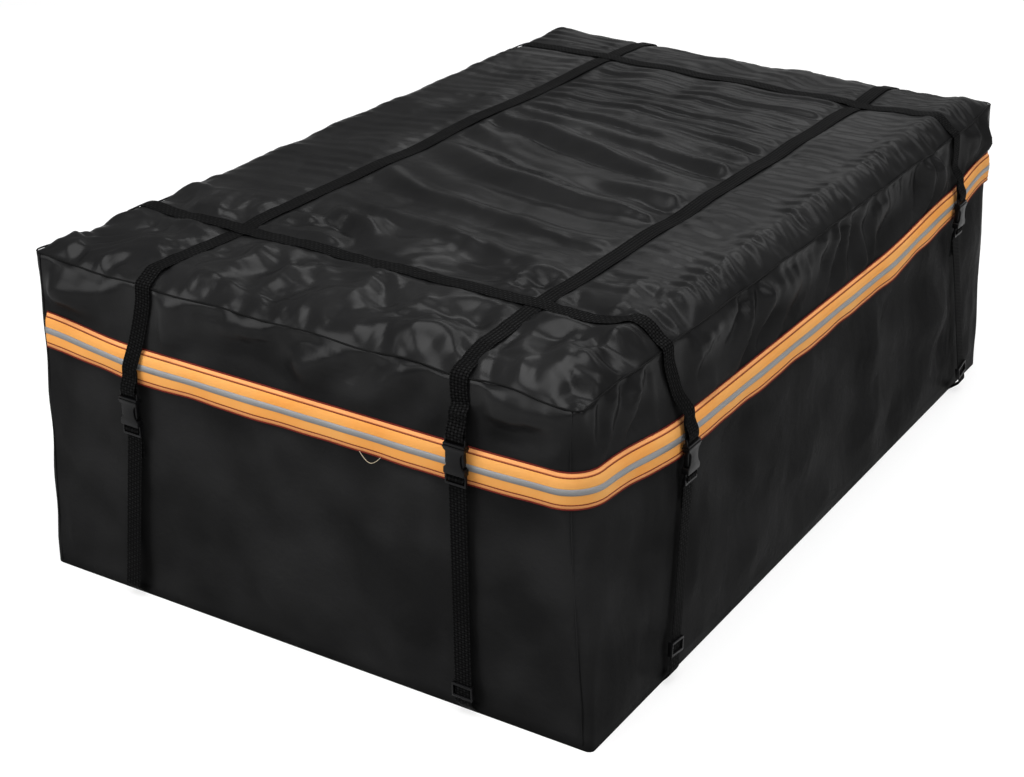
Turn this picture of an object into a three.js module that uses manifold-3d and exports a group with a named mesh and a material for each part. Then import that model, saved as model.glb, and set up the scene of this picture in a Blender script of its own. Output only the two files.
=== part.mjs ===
// Car roof cargo bag, packed full. A soft closed bag with a storm flap over its zip, two long and two
// cross straps over the top, and a side-release buckle with a webbing tail at each strap end.
// Millimetres, +Z up, +Y towards the back end. The bag stands on z = 0 with its middle over the origin.
import * as THREE from 'three';
import Module from 'manifold-3d';
import { mergeVertices } from 'three/addons/utils/BufferGeometryUtils.js';

const wasm = await Module();
wasm.setup();

// The packed bag
const bagWidth = 860;
const bagLength = 1300;
const seamHeight = 460;
const crownRise = 19;        // how far the load lifts the top above the rim seam
const brimWidth = 44;        // how far in from the rim the top reaches that height
const ridgeInset = 38;       // the edge of the load, a ridge along the right side
const ridgeRise = 9;
const ridgeSpread = 26;
const wallFullness = 7;      // how far the load swells each wall at mid height
const gatherDepth = 2.6;     // half height of the cross gathers in the top
const gatherStep = 26;       // from a crest to the next valley
const middleLean = -0.28;    // how the gathers slant across the middle of the top, and at its rear end
const rearLean = 0.15;
const leanTurn = 60;         // the slant changes from this place towards the rear, over this length
const leanTurnLength = 260;
const leanFadeFront = 200;   // lengths over which the slant fades out before each cross strap
const leanFadeRear = 120;    // and before the long rims
const leanFadeSides = 180;
const looseUntil = 80;       // ahead of this place every second gather is a low one
const lowCrest = 0.4;        // share of the gather depth
const highCrest = 1.3;
const crumpleCrest = 1.5;
const columnStep = 62;
const hemHeight = 8;

// How far each corner is pulled from the plain box, at its foot and at the rim seam. Its upright edge is
// rounded by one radius at the foot, by another at the rim, and by so much more two thirds of the way up.
const corners = [
  { across: -1, along: -1, foot: [0, -18], rim: [8, 0], footRadius: 12, rimRadius: 10, swell: 8, ear: 7 },
  { across: 1, along: -1, foot: [8, 7], rim: [-12, 4], footRadius: 10, rimRadius: 14, swell: 36, ear: -3 },
  { across: 1, along: 1, foot: [-1, 18], rim: [-12, -14], footRadius: 16, rimRadius: 10, swell: 8, ear: 9 },
  { across: -1, along: 1, foot: [-8, 18], rim: [14, 6], footRadius: 16, rimRadius: 12, swell: 8, ear: 7 },
];
const earSpread = 60;

// Storm flap, its reflective stripe and the zip beneath it
const flapHeight = 48;
const flapThickness = 1;
const flapBelly = 4.9;       // room that the flap leaves over the zip
const flapHem = 3.1;         // room behind its loose lower edge
const flapLevel = 351;       // middle of the flap above the floor
const flapStart = 20;        // clean cut end, short of the left corners
const stripeHeight = 8.5;
const stripeThickness = 0.5;
const chainHeight = 8;
const chainThickness = 2;
const sliderLength = 17;
const sliderWall = 1.4;
const sliderMeet = -110;     // where the two sliders meet when the bag is shut
const pullLength = 16;
const pullWidth = 9;
const pullThickness = 1.2;
const pullOut = 2.6;         // middle of the pull, out from the wall

// Webbing
const webWidth = 25;
const webThickness = 1.4;
const sewnLength = 32;       // webbing turned back and sewn above each clip
const webBedHalf = 21;       // half width of the smooth strip of fabric under a strap
const leftLine = 202 - bagWidth / 2;      // where each strap lies on the top, from the nearest edge
const rightLine = bagWidth / 2 - 178;
const frontLine = 188 - bagLength / 2;
const rearLine = bagLength / 2 - 150;
const longStraps = [{ name: 'left', across: leftLine }, { name: 'right', across: rightLine }];
const crossStraps = [{ name: 'front', along: frontLine }, { name: 'rear', along: rearLine }];

// Side-release buckle, measured from the mouth of its female half
const buckleWidth = 30;
const buckleThickness = 10;
const buckleOut = 14.5;      // middle of the buckle, out from the wall
const socketDepth = 35;
const socketThickness = 6.4;
const socketWall = 1.6;      // side walls of the mouth
const bodyLength = 37;
const windowTop = 5;
const windowBottom = 29;
const windowDepth = 6;
const lipHeight = 2.4;
const lipThickness = 11;
const webSlot = 26;          // width of every slot that takes the webbing
const slotHeight = 4.4;
const barHeight = 3;
const barThickness = 3.2;
const flangeHeight = 3;
const prongLength = 31;
const prongWidth = 3.4;
const guideLength = 24;
const buckleFit = 0.35;      // running clearance between the two halves

// Tri-glide on a tail
const glideHeight = 20;
const glideBar = 3.2;

// Where each strap end hangs. Sideways from its strap's line: where it crosses the rim, where its buckle
// hangs and where its tail meets the hem. Upwards: the mouth of its buckle, and its tri-glide.
const strapEnds = [
  { name: 'front_left', line: leftLine, rim: -4, hang: -22, foot: -44, mouth: 306, footOut: 15, glide: null },
  { name: 'front_right', line: rightLine, rim: 12, hang: 15, foot: 6, mouth: 379, footOut: 12, glide: 36 },
  { name: 'right_front', line: frontLine, rim: 10, hang: 34, foot: -4, mouth: 327, footOut: 12, glide: 52 },
  { name: 'right_rear', line: rearLine, rim: -13, hang: -22, foot: 28, mouth: 353, footOut: 18, glide: 42 },
  { name: 'back_right', line: rightLine, rim: 0, hang: 0, foot: 0, mouth: 330, footOut: 9, glide: 40 },
  { name: 'back_left', line: leftLine, rim: 0, hang: 0, foot: 0, mouth: 330, footOut: 9, glide: 40 },
  { name: 'left_rear', line: rearLine, rim: 0, hang: 0, foot: 0, mouth: 330, footOut: 12, glide: 40 },
  { name: 'left_front', line: frontLine, rim: 0, hang: 0, foot: 0, mouth: 330, footOut: 12, glide: 40 },
].map((end) => ({
  ...end,
  side: end.name.split('_')[0],
  rim: end.line + end.rim,
  at: end.line + end.hang,
  foot: end.line + end.foot,
}));

const restGap = 0.4;         // between pieces that touch
const webRest = restGap + webThickness / 2;
const turn = 0.84;           // how far out webbing swings on the diagonal, going round a bar
const sides = {
  front: { out: new THREE.Vector3(0, -1, 0), run: new THREE.Vector3(1, 0, 0), turn: 0 },
  right: { out: new THREE.Vector3(1, 0, 0), run: new THREE.Vector3(0, 1, 0), turn: Math.PI / 2 },
  back: { out: new THREE.Vector3(0, 1, 0), run: new THREE.Vector3(1, 0, 0), turn: Math.PI },
  left: { out: new THREE.Vector3(-1, 0, 0), run: new THREE.Vector3(0, 1, 0), turn: -Math.PI / 2 },
};

const fabric = new THREE.MeshStandardMaterial({ color: 0x121214, roughness: 0.45 });
const flapCloth = new THREE.MeshStandardMaterial({ color: 0xff9d3c, roughness: 0.7 });
const reflective = new THREE.MeshStandardMaterial({ color: 0x9b9ca0, roughness: 0.4 });
const webbingBlack = new THREE.MeshStandardMaterial({ color: 0x0c0c0d, roughness: 0.85 });
const buckleBlack = new THREE.MeshStandardMaterial({ color: 0x17171a, roughness: 0.4 });
const zipBlack = new THREE.MeshStandardMaterial({ color: 0x1a1a1c, roughness: 0.5 });

const part = new THREE.Group();

function add(name, geometry, material, parent = part) {
  const mesh = new THREE.Mesh(geometry, material);
  mesh.name = name;
  parent.add(mesh);
  return mesh;
}

// A smooth step from 0 to 1.
function ease(t) {
  const c = Math.min(1, Math.max(0, t));
  return c * c * (3 - 2 * c);
}

function bell(t) {
  return Math.exp(-t * t);
}

// Rises steeply from 0 and rolls over to 1.
function roll(t) {
  return 1 - (1 - Math.min(1, Math.max(0, t))) ** 2;
}

// Forms of the bag. A place on it is given by where it would be on the plain box.

// Weight of one corner at a place on the box.
function cornerShare(corner, x, y) {
  return (0.5 + corner.across * x / bagWidth) * (0.5 + corner.along * y / bagLength);
}

function rimHeight(x, y) {
  let height = seamHeight;
  for (const corner of corners) {
    const away = Math.hypot(x - corner.across * bagWidth / 2, y - corner.along * bagLength / 2);
    height += corner.ear * bell(away / earSpread);
  }
  return height;
}

// Rounds the box's upright edges, then pulls its corners. The share goes from 0 at the floor to 1 at the rim.
function place(x, y, share, height) {
  let px = x;
  let py = y;
  for (const corner of corners) {
    const evenly = corner.footRadius + (corner.rimRadius - corner.footRadius) * share;
    const radius = evenly + corner.swell * 6.75 * share * share * (1 - share);
    const a = radius - (bagWidth / 2 - corner.across * x);
    const b = radius - (bagLength / 2 - corner.along * y);
    if (a > 0 && b > 0) {
      const limit = 2 * radius * radius;
      px = corner.across * (bagWidth / 2 - radius + a * Math.sqrt(1 - b * b / limit));
      py = corner.along * (bagLength / 2 - radius + b * Math.sqrt(1 - a * a / limit));
    }
  }
  const point = new THREE.Vector3(px, py, height);
  for (const corner of corners) {
    const weight = cornerShare(corner, x, y);
    point.x += weight * (corner.foot[0] + (corner.rim[0] - corner.foot[0]) * share);
    point.y += weight * (corner.foot[1] + (corner.rim[1] - corner.foot[1]) * share);
  }
  return point;
}

// A point of a wall, swelled outwards between its edges.
function wallPoint(x, y, height) {
  const share = height / rimHeight(x, y);
  const point = place(x, y, share, height);
  const swell = wallFullness * 4 * share * (1 - share);
  const endReach = ease((bagWidth / 2 - Math.abs(x)) / (bagWidth / 5));
  const sideReach = ease((bagLength / 2 - Math.abs(y)) / (bagLength / 5));
  if (Math.abs(y) > bagLength / 2 - 1e-6) point.y += Math.sign(y) * swell * endReach;
  if (Math.abs(x) > bagWidth / 2 - 1e-6) point.x += Math.sign(x) * swell * sideReach;
  return point;
}

// 0 on the smooth bed under a strap, 1 well away from every strap.
function clearOfStraps(x, y) {
  let clear = 1;
  for (const strap of longStraps) clear *= ease((Math.abs(x - strap.across) - webBedHalf) / 40);
  for (const strap of crossStraps) clear *= ease((Math.abs(y - strap.along) - webBedHalf) / 40);
  return clear;
}

// A point of the top. The fold goes from -1 in a valley of the gathers to 1 on a crest.
function topPoint(x, y, fold = 0) {
  const inX = bagWidth / 2 - Math.abs(x);
  const inY = bagLength / 2 - Math.abs(y);
  const brim = roll(inX / brimWidth) * roll(inY / (1.5 * brimWidth));
  const ridge = ridgeRise * bell((x - bagWidth / 2 + ridgeInset) / ridgeSpread) * ease(inY / 120);
  const gather = gatherDepth * fold * clearOfStraps(x, y);
  return place(x, y, 1, rimHeight(x, y) + (crownRise + ridge + gather) * brim);
}

// How far the crest of a gather has moved along the bag from a straight line across it.
function gatherShift(x, y) {
  const fromFront = ease((y - frontLine - webBedHalf) / leanFadeFront);
  const fromRear = ease((rearLine - webBedHalf - y) / leanFadeRear);
  const fromSides = ease((bagWidth / 2 - Math.abs(x)) / leanFadeSides);
  const lean = middleLean + (rearLean - middleLean) * ease((y - leanTurn) / leanTurnLength);
  const reach = Math.min(rightLine, Math.max(leftLine, x)) - (leftLine + rightLine) / 2;
  return lean * reach * fromFront * fromRear * fromSides;
}

// Height of the fabric's folds at a station of row j: parallel gathers, and loose crumples at the front end.
function foldAt(x, y, j) {
  if (y < frontLine) return crumpleCrest * Math.sin(x / 52 + y / 31) * Math.cos(x / 83 - y / 27);
  const crest = y > looseUntil || j % 4 === 1 ? highCrest : lowCrest;
  return (j % 2 ? crest : -1) * (0.75 + 0.25 * Math.sin(x / 97 + y / 151));
}

function onSide(side, along) {
  const { out, run } = sides[side];
  const box = new THREE.Vector3(bagWidth / 2, bagLength / 2, 0);
  return run.clone().multiplyScalar(along).add(out.clone().multiply(box));
}

// A point at a height, some way out from one of the walls.
function offWall(side, along, height, out) {
  const foot = onSide(side, along);
  return wallPoint(foot.x, foot.y, height).addScaledVector(sides[side].out, out);
}

// Evenly fills the gaps between chosen stations.
function fill(keys, step) {
  const stations = [];
  for (let i = 0; i < keys.length - 1; i += 1) {
    const count = Math.max(1, Math.round((keys[i + 1] - keys[i]) / step));
    for (let j = 0; j < count; j += 1) stations.push(keys[i] + (keys[i + 1] - keys[i]) * j / count);
  }
  stations.push(keys[keys.length - 1]);
  return stations;
}

// Stations from one edge to the other, close together in the rounded corners and beside the straps.
function stationsAcross(length, beds, step) {
  const close = [0, 9, 20, 34, 52];
  const keys = close.map((d) => -length / 2 + d);
  for (const bed of beds) keys.push(bed - webBedHalf, bed + webBedHalf);
  for (const d of [...close].reverse()) keys.push(length / 2 - d);
  return fill(keys, step);
}

const acrossStations = stationsAcross(bagWidth, longStraps.map((s) => s.across), columnStep);
const alongStations = stationsAcross(bagLength, crossStraps.map((s) => s.along), gatherStep);

// Height of the flap's middle at a place on the rim. It dips along the right side.
function flapMiddle(x, y) {
  const dip = 15 * ease((y + bagLength / 2 - 50) / 170) * ease((bagLength / 2 - 40 - y) / 150);
  const onRight = ease((x - bagWidth / 2 + 60) / 60);
  const farLift = 15 * ease((y - 190) / 260) * ease((x - 180) / 250);
  const leftLift = 22 * ease((-x - 250) / 170) * ease((-y) / bagLength);
  return flapLevel - dip * onRight + farLift + leftLift;
}

// The rim's stations in order: front, right, back, left.
function rimStations() {
  const rim = [];
  for (const x of acrossStations) rim.push([x, -bagLength / 2]);
  for (const y of alongStations.slice(1)) rim.push([bagWidth / 2, y]);
  for (const x of acrossStations.slice(0, -1).reverse()) rim.push([x, bagLength / 2]);
  for (const y of alongStations.slice(1, -1).reverse()) rim.push([-bagWidth / 2, y]);
  return rim;
}

// Turns the faces outwards if they point in.
function solidFrom(points, faces) {
  const geometry = new THREE.BufferGeometry().setFromPoints(points);
  let volume = 0;
  for (const [a, b, c] of faces) {
    volume += points[a].dot(new THREE.Vector3().crossVectors(points[b], points[c]));
  }
  const order = volume > 0 ? faces : faces.map(([a, b, c]) => [a, c, b]);
  geometry.setIndex(order.flat());
  geometry.computeVertexNormals();
  return geometry;
}

// Skins a row of closed sections, with a flat cap on each end.
function loft(sections) {
  const size = sections[0].length;
  const faces = [];
  for (let i = 0; i < sections.length - 1; i += 1) {
    for (let j = 0; j < size; j += 1) {
      const a = i * size + j;
      const b = i * size + (j + 1) % size;
      faces.push([a, b, b + size], [a, b + size, a + size]);
    }
  }
  const last = (sections.length - 1) * size;
  const outline = THREE.ShapeUtils.triangulateShape(flatten(sections[0]), []);
  for (const [a, b, c] of outline) faces.push([a, c, b], [last + a, last + b, last + c]);
  return solidFrom(sections.flat(), faces);
}

// A section in its own plane, for its end cap.
function flatten(section) {
  const origin = section[0];
  const across = section[1].clone().sub(origin).normalize();
  const face = new THREE.Vector3();
  for (let i = 1; i < section.length - 1; i += 1) {
    const a = section[i].clone().sub(origin);
    face.add(a.cross(section[i + 1].clone().sub(origin)));
  }
  const rise = face.normalize().cross(across);
  return section.map((p) => {
    const d = p.clone().sub(origin);
    return new THREE.Vector2(d.dot(across), d.dot(rise));
  });
}

// The bag

function makeShell() {
  const points = [];
  const faces = [];
  const rows = alongStations.length;
  acrossStations.forEach((x, i) => {
    alongStations.forEach((y, j) => {
      points.push(topPoint(x, y + gatherShift(x, y), foldAt(x, y, j)));
      if (i && j) {
        const a = i * rows + j;
        faces.push([a - rows - 1, a - 1, a], [a - rows - 1, a, a - rows]);
      }
    });
  });
  const rim = rimStations();
  let ring = rim.map(([x, y]) => acrossStations.indexOf(x) * rows + alongStations.indexOf(y));
  const heights = ([x, y]) => {
    const middle = flapMiddle(x, y);
    const flapTop = middle + flapHeight / 2;
    return [(flapTop + rimHeight(x, y)) / 2, flapTop, middle - flapHeight / 2,
      middle * 0.68, middle * 0.42, middle * 0.17, hemHeight, 0];
  };
  const levels = rim.map(heights);
  for (let level = 0; level < levels[0].length; level += 1) {
    const next = rim.map(([x, y], i) => {
      const point = wallPoint(x, y, levels[i][level]);
      points.push(point);
      return points.length - 1;
    });
    for (let i = 0; i < ring.length; i += 1) {
      const j = (i + 1) % ring.length;
      faces.push([ring[i], next[i], next[j]], [ring[i], next[j], ring[j]]);
    }
    ring = next;
  }
  points.push(new THREE.Vector3(0, 0, 0));
  for (let i = 0; i < ring.length; i += 1) {
    faces.push([ring[i], points.length - 1, ring[(i + 1) % ring.length]]);
  }
  return solidFrom(points, faces);
}

// Stations of the flap: front, right side and back, with every other long-side station left out.
function flapStations(start) {
  const inside = ([x, y]) => x > -bagWidth / 2 + start && Math.abs(y) > bagLength / 2 - 60;
  const rim = rimStations();
  const onFlap = rim.filter(([x, y], i) => {
    if (x < -bagWidth / 2 + start) return false;
    return inside([x, y]) || (x > 0 && i % 2 === 0);
  });
  const end = -bagWidth / 2 + start;
  return [[end, -bagLength / 2], ...onFlap, [end, bagLength / 2]];
}

// Sweeps a section of [out, up] points round the bag under the rim.
function sweepRound(section, start) {
  const stations = flapStations(start);
  const middles = stations.map(([x, y]) => wallPoint(x, y, flapMiddle(x, y)));
  const sections = stations.map(([x, y], i) => {
    const before = middles[Math.max(0, i - 1)];
    const after = middles[Math.min(middles.length - 1, i + 1)];
    const travel = after.clone().sub(before);
    const out = new THREE.Vector3(travel.y, -travel.x, 0).normalize();
    return section.map(([outward, up]) => {
      return wallPoint(x, y, flapMiddle(x, y) + up).addScaledVector(out, outward);
    });
  });
  return loft(sections);
}

function makeFlap() {
  const half = flapHeight / 2;
  const inner = [[restGap, half], [flapBelly, half - 11], [flapBelly, 14 - half], [flapHem, -half]];
  const outer = inner.map(([out, up]) => [out + flapThickness, up]).reverse();
  return sweepRound([...inner, ...outer], flapStart);
}

function makeStripe() {
  const back = flapBelly + flapThickness + restGap;
  const half = stripeHeight / 2;
  const front = back + stripeThickness;
  return sweepRound([[back, half], [back, -half], [front, -half], [front, half]], flapStart + 1);
}

function makeZipChain() {
  const half = chainHeight / 2;
  const front = restGap + chainThickness;
  return sweepRound([[restGap, half], [restGap, -half], [front, -half], [front, half]], flapStart + 12);
}

// A channel that wraps the front of the zip chain, its length along local X and outwards along local -Y.
function makeSlider() {
  const reach = chainHeight / 2 + restGap;
  const back = 2 * restGap;
  const face = restGap + chainThickness + restGap;
  const front = face + sliderWall;
  const tall = reach + sliderWall;
  const outline = new THREE.Shape([
    [back, -reach], [face, -reach], [face, reach], [back, reach],
    [back, tall], [front, tall - 1], [front, 1 - tall], [back, -tall],
  ].map(([out, up]) => new THREE.Vector2(out, up)));
  const channel = new THREE.ExtrudeGeometry(outline, { depth: sliderLength, bevelEnabled: false });
  channel.translate(0, 0, -sliderLength / 2);
  return channel.rotateX(Math.PI / 2).rotateZ(-Math.PI / 2);
}

// The pull hangs flat below the slider, with a hole for the thumb loop.
function makePull() {
  const top = -(chainHeight / 2 + restGap + sliderWall + restGap);
  const outline = new THREE.Shape();
  outline.moveTo(-pullWidth / 3, top);
  outline.lineTo(-pullWidth / 2, top - pullLength + 4);
  outline.quadraticCurveTo(-pullWidth / 2, top - pullLength, 0, top - pullLength);
  outline.quadraticCurveTo(pullWidth / 2, top - pullLength, pullWidth / 2, top - pullLength + 4);
  outline.lineTo(pullWidth / 3, top);
  const hole = new THREE.Path();
  hole.absarc(0, top - pullLength + 5, 2, 0, 2 * Math.PI, true);
  outline.holes.push(hole);
  return slab(outline, pullThickness, 0, 3).translate(0, -pullOut, 0);
}

// Booleans

function toSolid(geometry) {
  const bare = geometry.clone();
  bare.deleteAttribute('normal');
  bare.deleteAttribute('uv');
  const merged = mergeVertices(bare, 1e-4);
  return new wasm.Manifold(new wasm.Mesh({
    numProp: 3,
    vertProperties: merged.attributes.position.array,
    triVerts: merged.index.array,
  }));
}

function toGeometry(solid) {
  const mesh = solid.getMesh();
  const geometry = new THREE.BufferGeometry();
  geometry.setAttribute('position', new THREE.BufferAttribute(mesh.vertProperties, 3));
  geometry.setIndex(new THREE.BufferAttribute(mesh.triVerts, 1));
  geometry.computeVertexNormals();
  return geometry;
}

// An outline of [x, z] given a thickness along Y, centred, with chamfered edges.
function slab(outline, thickness, chamfer = 0, curveSegments = 2) {
  const depth = thickness - 2 * chamfer;
  const geometry = new THREE.ExtrudeGeometry(outline, {
    depth,
    curveSegments,
    bevelEnabled: chamfer > 0,
    bevelThickness: chamfer,
    bevelSize: chamfer,
    bevelOffset: -chamfer,
    bevelSegments: 1,
  });
  return geometry.translate(0, 0, -depth / 2).rotateX(Math.PI / 2);
}

function rectangle(width, low, high, corner = 0) {
  const half = width / 2;
  const outline = new THREE.Shape();
  outline.moveTo(-half + corner, low);
  outline.lineTo(half - corner, low);
  if (corner) outline.absarc(half - corner, low + corner, corner, -Math.PI / 2, 0);
  outline.lineTo(half, high - corner);
  if (corner) outline.absarc(half - corner, high - corner, corner, 0, Math.PI / 2);
  outline.lineTo(-half + corner, high);
  if (corner) outline.absarc(-half + corner, high - corner, corner, Math.PI / 2, Math.PI);
  outline.lineTo(-half, low + corner);
  if (corner) outline.absarc(-half + corner, low + corner, corner, Math.PI, 1.5 * Math.PI);
  return outline;
}

// Buckle. Its halves are drawn with the mouth at z = 0, outwards along -Y.

const ladderTop = -bodyLength;                       // first slot's upper edge
const ladderBar = ladderTop - slotHeight;            // upper edge of the bar that the tail wraps
const lowerSlot = ladderBar - barHeight;
const endBar = lowerSlot - slotHeight;
const femaleEnd = endBar - barHeight;
const maleSlot = buckleFit + flangeHeight;
const maleBar = maleSlot + slotHeight;
const maleEnd = maleBar + barHeight;

function makeFemale() {
  const half = buckleWidth / 2;
  const neck = half - windowDepth;
  const body = new THREE.Shape();
  body.moveTo(-half, 0);
  body.lineTo(half, 0);
  body.lineTo(half, -windowTop);
  body.quadraticCurveTo(neck, -windowTop - 2, neck, -windowTop - 9);
  body.quadraticCurveTo(neck, -windowBottom + 4, half, -windowBottom);
  body.lineTo(half, -bodyLength + 1.5);
  body.lineTo(half - 1.5, -bodyLength);
  body.lineTo(-half + 1.5, -bodyLength);
  body.lineTo(-half, -bodyLength + 1.5);
  body.lineTo(-half, -windowBottom);
  body.quadraticCurveTo(-neck, -windowBottom + 4, -neck, -windowTop - 9);
  body.quadraticCurveTo(-neck, -windowTop - 2, -half, -windowTop);
  const ladder = rectangle(buckleWidth, femaleEnd, -bodyLength + 3, 1.6);
  ladder.holes.push(rectangle(webSlot, ladderBar, ladderTop), rectangle(webSlot, endBar, lowerSlot));
  const lip = rectangle(buckleWidth + 0.8, -lipHeight, 0);
  const socket = rectangle(buckleWidth - 2 * socketWall, -socketDepth, 5);
  const solid = toSolid(slab(body, buckleThickness, 0.7, 3))
    .add(toSolid(slab(ladder, barThickness)))
    .add(toSolid(slab(lip, lipThickness)))
    .subtract(toSolid(slab(socket, socketThickness)));
  return toGeometry(solid);
}

function makeMale() {
  const base = rectangle(buckleWidth, buckleFit, maleEnd, 1.2);
  base.holes.push(rectangle(webSlot, maleSlot, maleBar));
  const flange = rectangle(buckleWidth, buckleFit, maleSlot);
  const reach = buckleWidth / 2 - socketWall - buckleFit;
  const prongs = new THREE.Shape();
  const rightSide = [
    [reach - 1.2, maleSlot - 1], [reach - 1.2, -4], [reach, -8], [reach, -windowBottom + 6],
    [reach - 3, -prongLength], [reach - 5.4, -prongLength], [reach - 4.6, -16],
    [reach - 1.2 - prongWidth, -8], [reach - 1.2 - prongWidth, -2],
    [1.7, -2], [1.7, -guideLength + 2], [0, -guideLength],
  ];
  prongs.moveTo(rightSide[0][0], rightSide[0][1]);
  for (const [x, z] of rightSide.slice(1)) prongs.lineTo(x, z);
  for (const [x, z] of rightSide.slice(0, -1).reverse()) prongs.lineTo(-x, z);
  const solid = toSolid(slab(base, barThickness))
    .add(toSolid(slab(flange, buckleThickness - 0.8)))
    .add(toSolid(slab(prongs, socketThickness - 2 * buckleFit)));
  return toGeometry(solid);
}

// A tri-glide with its outer bars before the webbing and its middle bar behind it, centred on z = 0.
function makeGlide() {
  const half = glideHeight / 2;
  const rail = (buckleWidth - webSlot) / 2;
  const clear = webRest;
  const deep = 2 * (clear + glideBar * 0.7);
  const side = new THREE.BoxGeometry(rail, deep, glideHeight);
  const bar = new THREE.BoxGeometry(buckleWidth, glideBar * 0.7, glideBar);
  const offset = clear + glideBar * 0.35;
  const pieces = [
    side.clone().translate((webSlot + rail) / 2, 0, 0),
    side.clone().translate(-(webSlot + rail) / 2, 0, 0),
    bar.clone().translate(0, -offset, half - glideBar / 2),
    bar.clone().translate(0, -offset, glideBar / 2 - half),
    bar.clone().translate(0, offset, 0),
  ];
  return toGeometry(pieces.map(toSolid).reduce((all, piece) => all.add(piece)));
}

// Webbing

// A path for flat webbing. The section stays square to the path, with its width along one direction,
// and its stations are the path's own points, so that tight turns have short steps.
class WebPath extends THREE.CatmullRomCurve3 {
  constructor(points, across) {
    super(points);
    this.across = across;
  }

  getPointAt(u, target) {
    return this.getPoint(u, target);
  }

  getTangentAt(u, target) {
    return this.getTangent(u, target);
  }

  computeFrenetFrames(segments) {
    const frames = { tangents: [], normals: [], binormals: [] };
    for (let i = 0; i <= segments; i += 1) {
      const tangent = this.getTangentAt(i / segments);
      const normal = this.across.clone().addScaledVector(tangent, -tangent.dot(this.across)).normalize();
      frames.tangents.push(tangent);
      frames.normals.push(normal);
      frames.binormals.push(new THREE.Vector3().crossVectors(tangent, normal));
    }
    return frames;
  }
}

function webbing(points, across) {
  const w = webWidth / 2;
  const t = webThickness / 2;
  const section = new THREE.Shape();
  section.moveTo(-w, -t);
  section.lineTo(w, -t);
  section.lineTo(w, t);
  section.lineTo(-w, t);
  const extrudePath = new WebPath(points, across);
  return new THREE.ExtrudeGeometry(section, { steps: points.length - 1, extrudePath, bevelEnabled: false });
}

// From the sewn end behind the clip's bar, round the bar, and up the wall to the rim.
function strapEndPoints(end) {
  const bar = end.mouth + (maleBar + maleEnd) / 2;
  const wrap = barThickness / 2 + webRest;
  const low = barHeight / 2 + webRest;
  const points = [];
  const spot = (out, height) => {
    const level = offWall(end.side, end.at, end.mouth, out);
    points.push(new THREE.Vector3(level.x, level.y, height));
  };
  const layer = webThickness + restGap;
  const sewn = buckleOut - 3.6;
  spot(sewn - layer, bar + sewnLength);
  spot(sewn - layer, bar + sewnLength - 10);
  spot(buckleOut - wrap - 0.2, bar + 8);
  spot(buckleOut - wrap, bar);
  spot(buckleOut - wrap * turn, bar - low * turn);
  spot(buckleOut, bar - low);
  spot(buckleOut + wrap * turn, bar - low * turn);
  spot(buckleOut + wrap, bar);
  spot(buckleOut + wrap - 0.4, bar + 8);
  spot(sewn, bar + sewnLength - 10);
  spot(sewn - 0.6, bar + sewnLength);
  const onRim = onSide(end.side, end.rim);
  const rim = rimHeight(onRim.x, onRim.y);
  const { out } = sides[end.side];
  const start = bar + sewnLength;
  for (const share of [0.35, 0.7]) {
    const height = start + (rim - 20 - start) * share;
    const along = end.at + (end.rim - end.at) * share;
    const overFlap = flapBelly + flapThickness + stripeThickness + 2 * restGap;
    const off = overFlap + (webRest + 1.4 - overFlap) * ease((height - flapLevel) / 40 - 0.4);
    points.push(offWall(end.side, along, height, Math.max(off, webRest + 1.4)));
  }
  points.push(offWall(end.side, end.rim, rim - 18, webRest + 1.3));
  const edge = wallPoint(onRim.x, onRim.y, rim);
  for (const [inwards, up] of [[-1.5, 4], [9, 11.5]]) {
    points.push(edge.clone().addScaledVector(out, -inwards).setZ(rim + up));
  }
  return points;
}

// The lift where a cross strap lies over a long one.
function crossingLift(x) {
  let lift = 0;
  for (const strap of longStraps) {
    const away = Math.abs(x - strap.across) - webWidth / 2;
    lift = Math.max(lift, (webThickness + restGap) * ease(1.15 - away / 16));
  }
  return lift;
}

function endsOn(side) {
  return strapEnds.filter((end) => end.side === side);
}

function nearest(ends, place) {
  return ends.reduce((best, end) => (Math.abs(end.at - place) < Math.abs(best.at - place) ? end : best));
}

// Stations on the top between the two rims, thinned to about one in every webStep.
function topStations(stations, half, webStep, extra = []) {
  const inner = stations.filter((s) => Math.abs(s) < half - 20);
  const kept = [];
  for (const s of inner) {
    const nearRim = Math.abs(s) > half - 2.5 * brimWidth;
    if (nearRim || !kept.length || s - kept[kept.length - 1] > webStep) kept.push(s);
  }
  const all = kept.filter((s) => extra.every((e) => Math.abs(e - s) > 8));
  return [...all, ...extra].sort((a, b) => a - b);
}

// How a strap that runs straight at one place leans over to where its end crosses the rim.
function leanTo(end, straight, past, half) {
  return straight + (end.rim - straight) * Math.max(0, past / half);
}

function makeLongStrap(strap) {
  const front = nearest(endsOn('front'), strap.across);
  const back = nearest(endsOn('back'), strap.across);
  const top = topStations(alongStations, bagLength / 2, 50).map((y) => {
    const crossing = crossStraps[y < 0 ? 0 : 1].along;
    const past = Math.abs(y) - Math.abs(crossing);
    const x = leanTo(y < 0 ? front : back, strap.across, past, bagLength / 2 - Math.abs(crossing));
    const point = topPoint(x, y);
    return point.setZ(point.z + webRest + brimSlack(bagLength / 2 - Math.abs(y)));
  });
  const points = [...strapEndPoints(front), ...top, ...strapEndPoints(back).reverse()];
  return webbing(points, new THREE.Vector3(1, 0, 0));
}

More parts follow.
